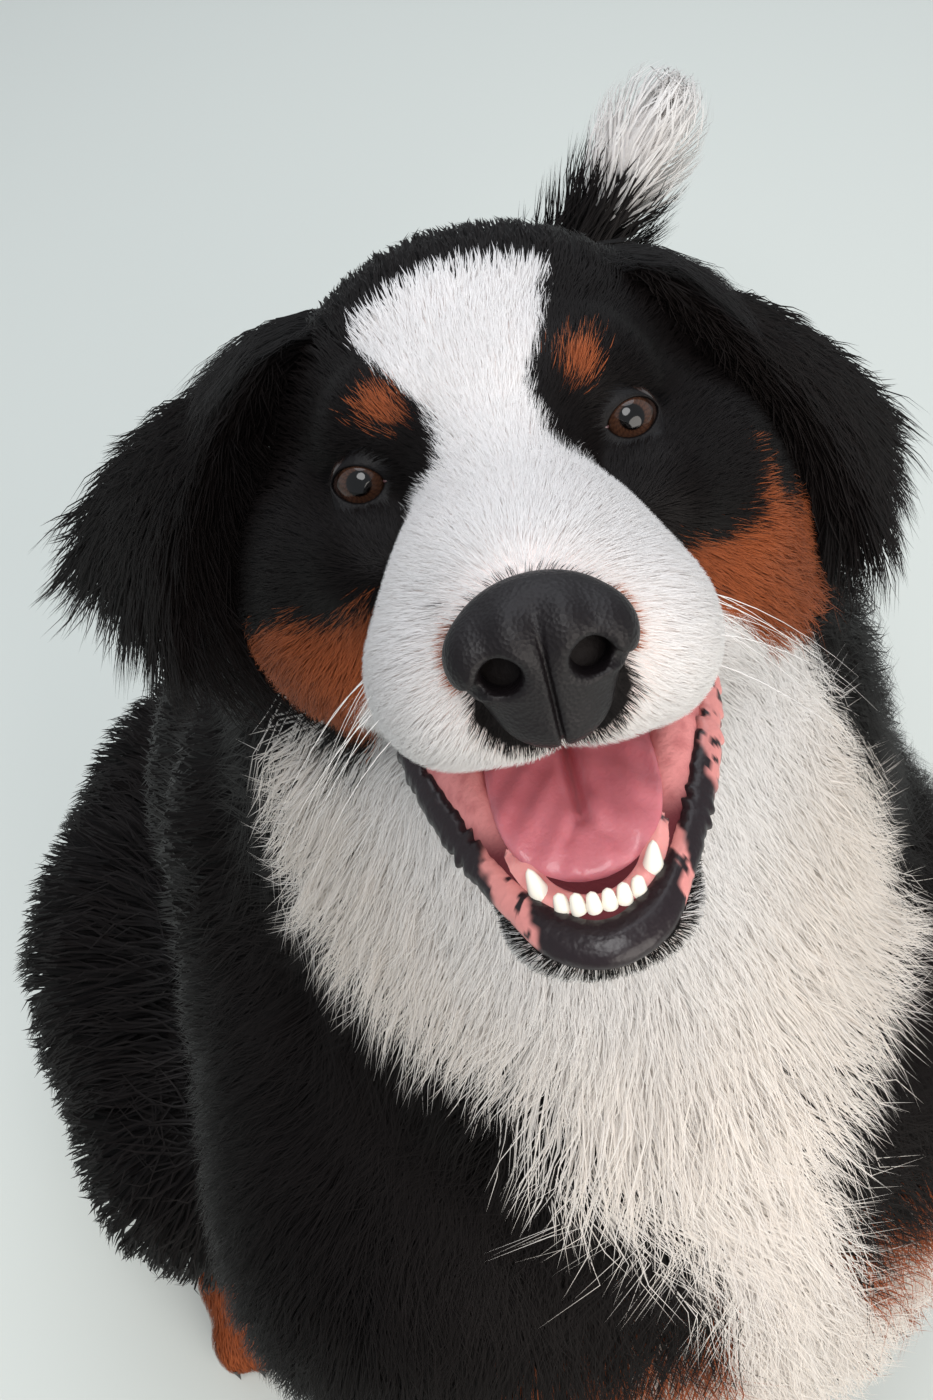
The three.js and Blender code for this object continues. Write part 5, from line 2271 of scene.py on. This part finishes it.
@dataclass(frozen=True)
class Whiskers:
    """White whiskers at the muzzle's sides."""

    each: int = 11
    radius: float = 0.24
    # White hair of the whiskers: stiff and pale, with a faint gloss.
    finish: Finish = Finish("whisker_hair", "#e9e6e3", roughness=0.35)

    def build(self, close: Flesh) -> bpy.types.Object:
        """All whiskers as one piece of thin tapering tubes.

        Args:
            close: the head's flesh.

        Returns:
            The piece.
        """
        chance = np.random.default_rng(31)
        points, corners, sizes = [], [], []
        for side in (-1, 1):
            for k in range(self.each):
                row, place_in = divmod(k, 5)
                fore = 86 - 11 * place_in + 4 * chance.random()
                root = np.array([side * 46.0, fore, -50 - 8 * row])
                root = HEAD.into(close.settle(HEAD.out(root[None]), 0.1, rounds=5))[0]
                size = 34 + 30 * chance.random()
                beside, aft, down = chance.random(3)
                out = unit(np.array(
                    [side * (0.9 - 0.25 * beside), -0.15 - 0.3 * aft, -0.25 - 0.5 * down]
                ))
                bend = np.array([0, -0.25, -0.35]) * size
                along = np.linspace(0, 1, 7)[:, None]
                line = root + out * size * along + bend * along**2
                first = len(points)
                for j, q in enumerate(line):
                    r = self.radius * (1 - 0.85 * j / 6)
                    for a in (0.0, 2.09, 4.19):
                        points.append(q + r * np.array([0, math.cos(a), math.sin(a)]))
                for j in range(6):
                    for a in range(3):
                        b = (a + 1) % 3
                        corners += [first + 3 * j + a, first + 3 * j + b, first + 3 * j + 3 + b,
                                    first + 3 * j + 3 + a]
                        sizes.append(4)
        piece = new_mesh("whiskers", HEAD.out(np.array(points)), np.array(corners), np.array(sizes))
        return finish_piece(piece, self.finish, "white_coat")


@dataclass(frozen=True)
class Lamp:
    """A round soft lamp: its place and diameter in metres, its power in watts and its colour."""

    name: str
    at: Point
    wide: float
    power: float
    colour: str


@dataclass(frozen=True)
class Studio:
    """A plain pale floor, soft light from above and in front, and the camera."""

    lamps: tuple[Lamp, ...] = (
        Lamp("soft_key", (-0.55, -1.05, 3.0), 1.5, 38.0, "#ffffff"),
        Lamp("soft_top", (0.5, 0.9, 2.8), 2.6, 38.0, "#f4f8ff"),
        Lamp("soft_fill", (0.2, -2.4, 1.1), 2.2, 48.0, "#fff8f0"),
    )
    aim: Point = (0.0, 0.0, 600.0)
    air: str = "#e9eff5"
    air_strength: float = 0.62
    camera_at: Point = (-142.6, -395.7, 1149.2)
    camera_right: Point = (0.8803, -0.4559, -0.1308)
    camera_down: Point = (-0.4326, -0.6587, -0.6156)
    camera_fore: Point = (0.1945, 0.5985, -0.7771)
    lens: float = 40.71

    def _camera(self) -> None:
        """The camera."""
        data = bpy.data.cameras.new("camera")
        data.lens, data.sensor_width, data.sensor_fit = self.lens, 36.0, "AUTO"
        data.clip_start = 0.02
        camera = bpy.data.objects.new("camera", data)
        bpy.context.collection.objects.link(camera)
        at = place(np.array(self.camera_at))
        turn = Matrix((self.camera_right, -np.array(self.camera_down), -np.array(self.camera_fore)))
        camera.matrix_world = Matrix.Translation(Vector(at)) @ turn.transposed().to_4x4()
        bpy.context.scene.camera = camera

    def _light(self, lamp: Lamp) -> None:
        """Hangs a lamp that faces the dog.

        Args:
            lamp: the lamp.
        """
        data = bpy.data.lights.new(lamp.name, "AREA")
        data.shape = "DISK"
        data.size, data.energy = lamp.wide, lamp.power
        data.color = tuple(linear(lamp.colour))
        hung = bpy.data.objects.new(lamp.name, data)
        bpy.context.collection.objects.link(hung)
        hung.location = lamp.at
        facing = Vector(place(np.array(self.aim))) - Vector(lamp.at)
        hung.rotation_euler = facing.to_track_quat("-Z", "Y").to_euler()

    def build(self) -> None:
        """Floor, lights, sky and camera."""
        bpy.ops.mesh.primitive_plane_add(size=14.0)
        floor = bpy.context.active_object
        floor.name = "studio_floor"
        # Pale studio floor: matt, so that it shows only the soft shadow.
        floor.data.materials.append(Finish("studio_floor", "#c9cdc8", roughness=0.9).material())
        for lamp in self.lamps:
            self._light(lamp)
        world = bpy.data.worlds.new("studio_air")
        bpy.context.scene.world = world
        world.use_nodes = True
        sky = world.node_tree.nodes["Background"]
        sky.inputs[0].default_value = (*linear(self.air), 1.0)
        sky.inputs[1].default_value = self.air_strength
        bpy.context.scene.view_settings.view_transform = "Standard"
        self._camera()


def dress_claws() -> list[bpy.types.Object]:
    """Gives the frame's own claws their finish.

    Returns:
        The claws.
    """
    claws = [node for name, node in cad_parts.items() if name.startswith("claw")]
    for claw in claws:
        claw.data.materials.clear()
        claw.data.materials.append(HORN.material())
    return claws


# The lattices: their spacing in mm, and the corners of the one round the whole dog.
BODY_CELL = 7.0
HEAD_CELL = 3.0
BODY_LOW: Point = (-330.0, -330.0, -80.0)
BODY_HIGH: Point = (520.0, 700.0, 960.0)


def report(*pieces: bpy.types.Object) -> None:
    """Logs each piece with its number of faces."""
    for piece in pieces:
        log.info("%s: %d faces", piece.name, len(piece.data.polygons))


def main() -> None:
    """Builds the dog piece by piece, then its studio."""
    logging.basicConfig(level=logging.INFO, format="%(message)s")
    flesh = Flesh(BODY_CELL, np.array(BODY_LOW), np.array(BODY_HIGH))
    close = Flesh(HEAD_CELL, *head_block())
    skin, hide = Skin(flesh, close).build()
    report(skin)
    report(*Coat(flesh, close, hide).build())
    for side, node in ((1, "eye_left"), (-1, "eye_right")):
        report(*Eye(side, node).build(close))
    report(nose_pad())
    report(*Mouth().build())
    for ear in EARS:
        report(*ear.build(close))
    report(Whiskers().build(close))
    report(*dress_claws())
    Studio().build()


if __name__ == "__main__":
    main()
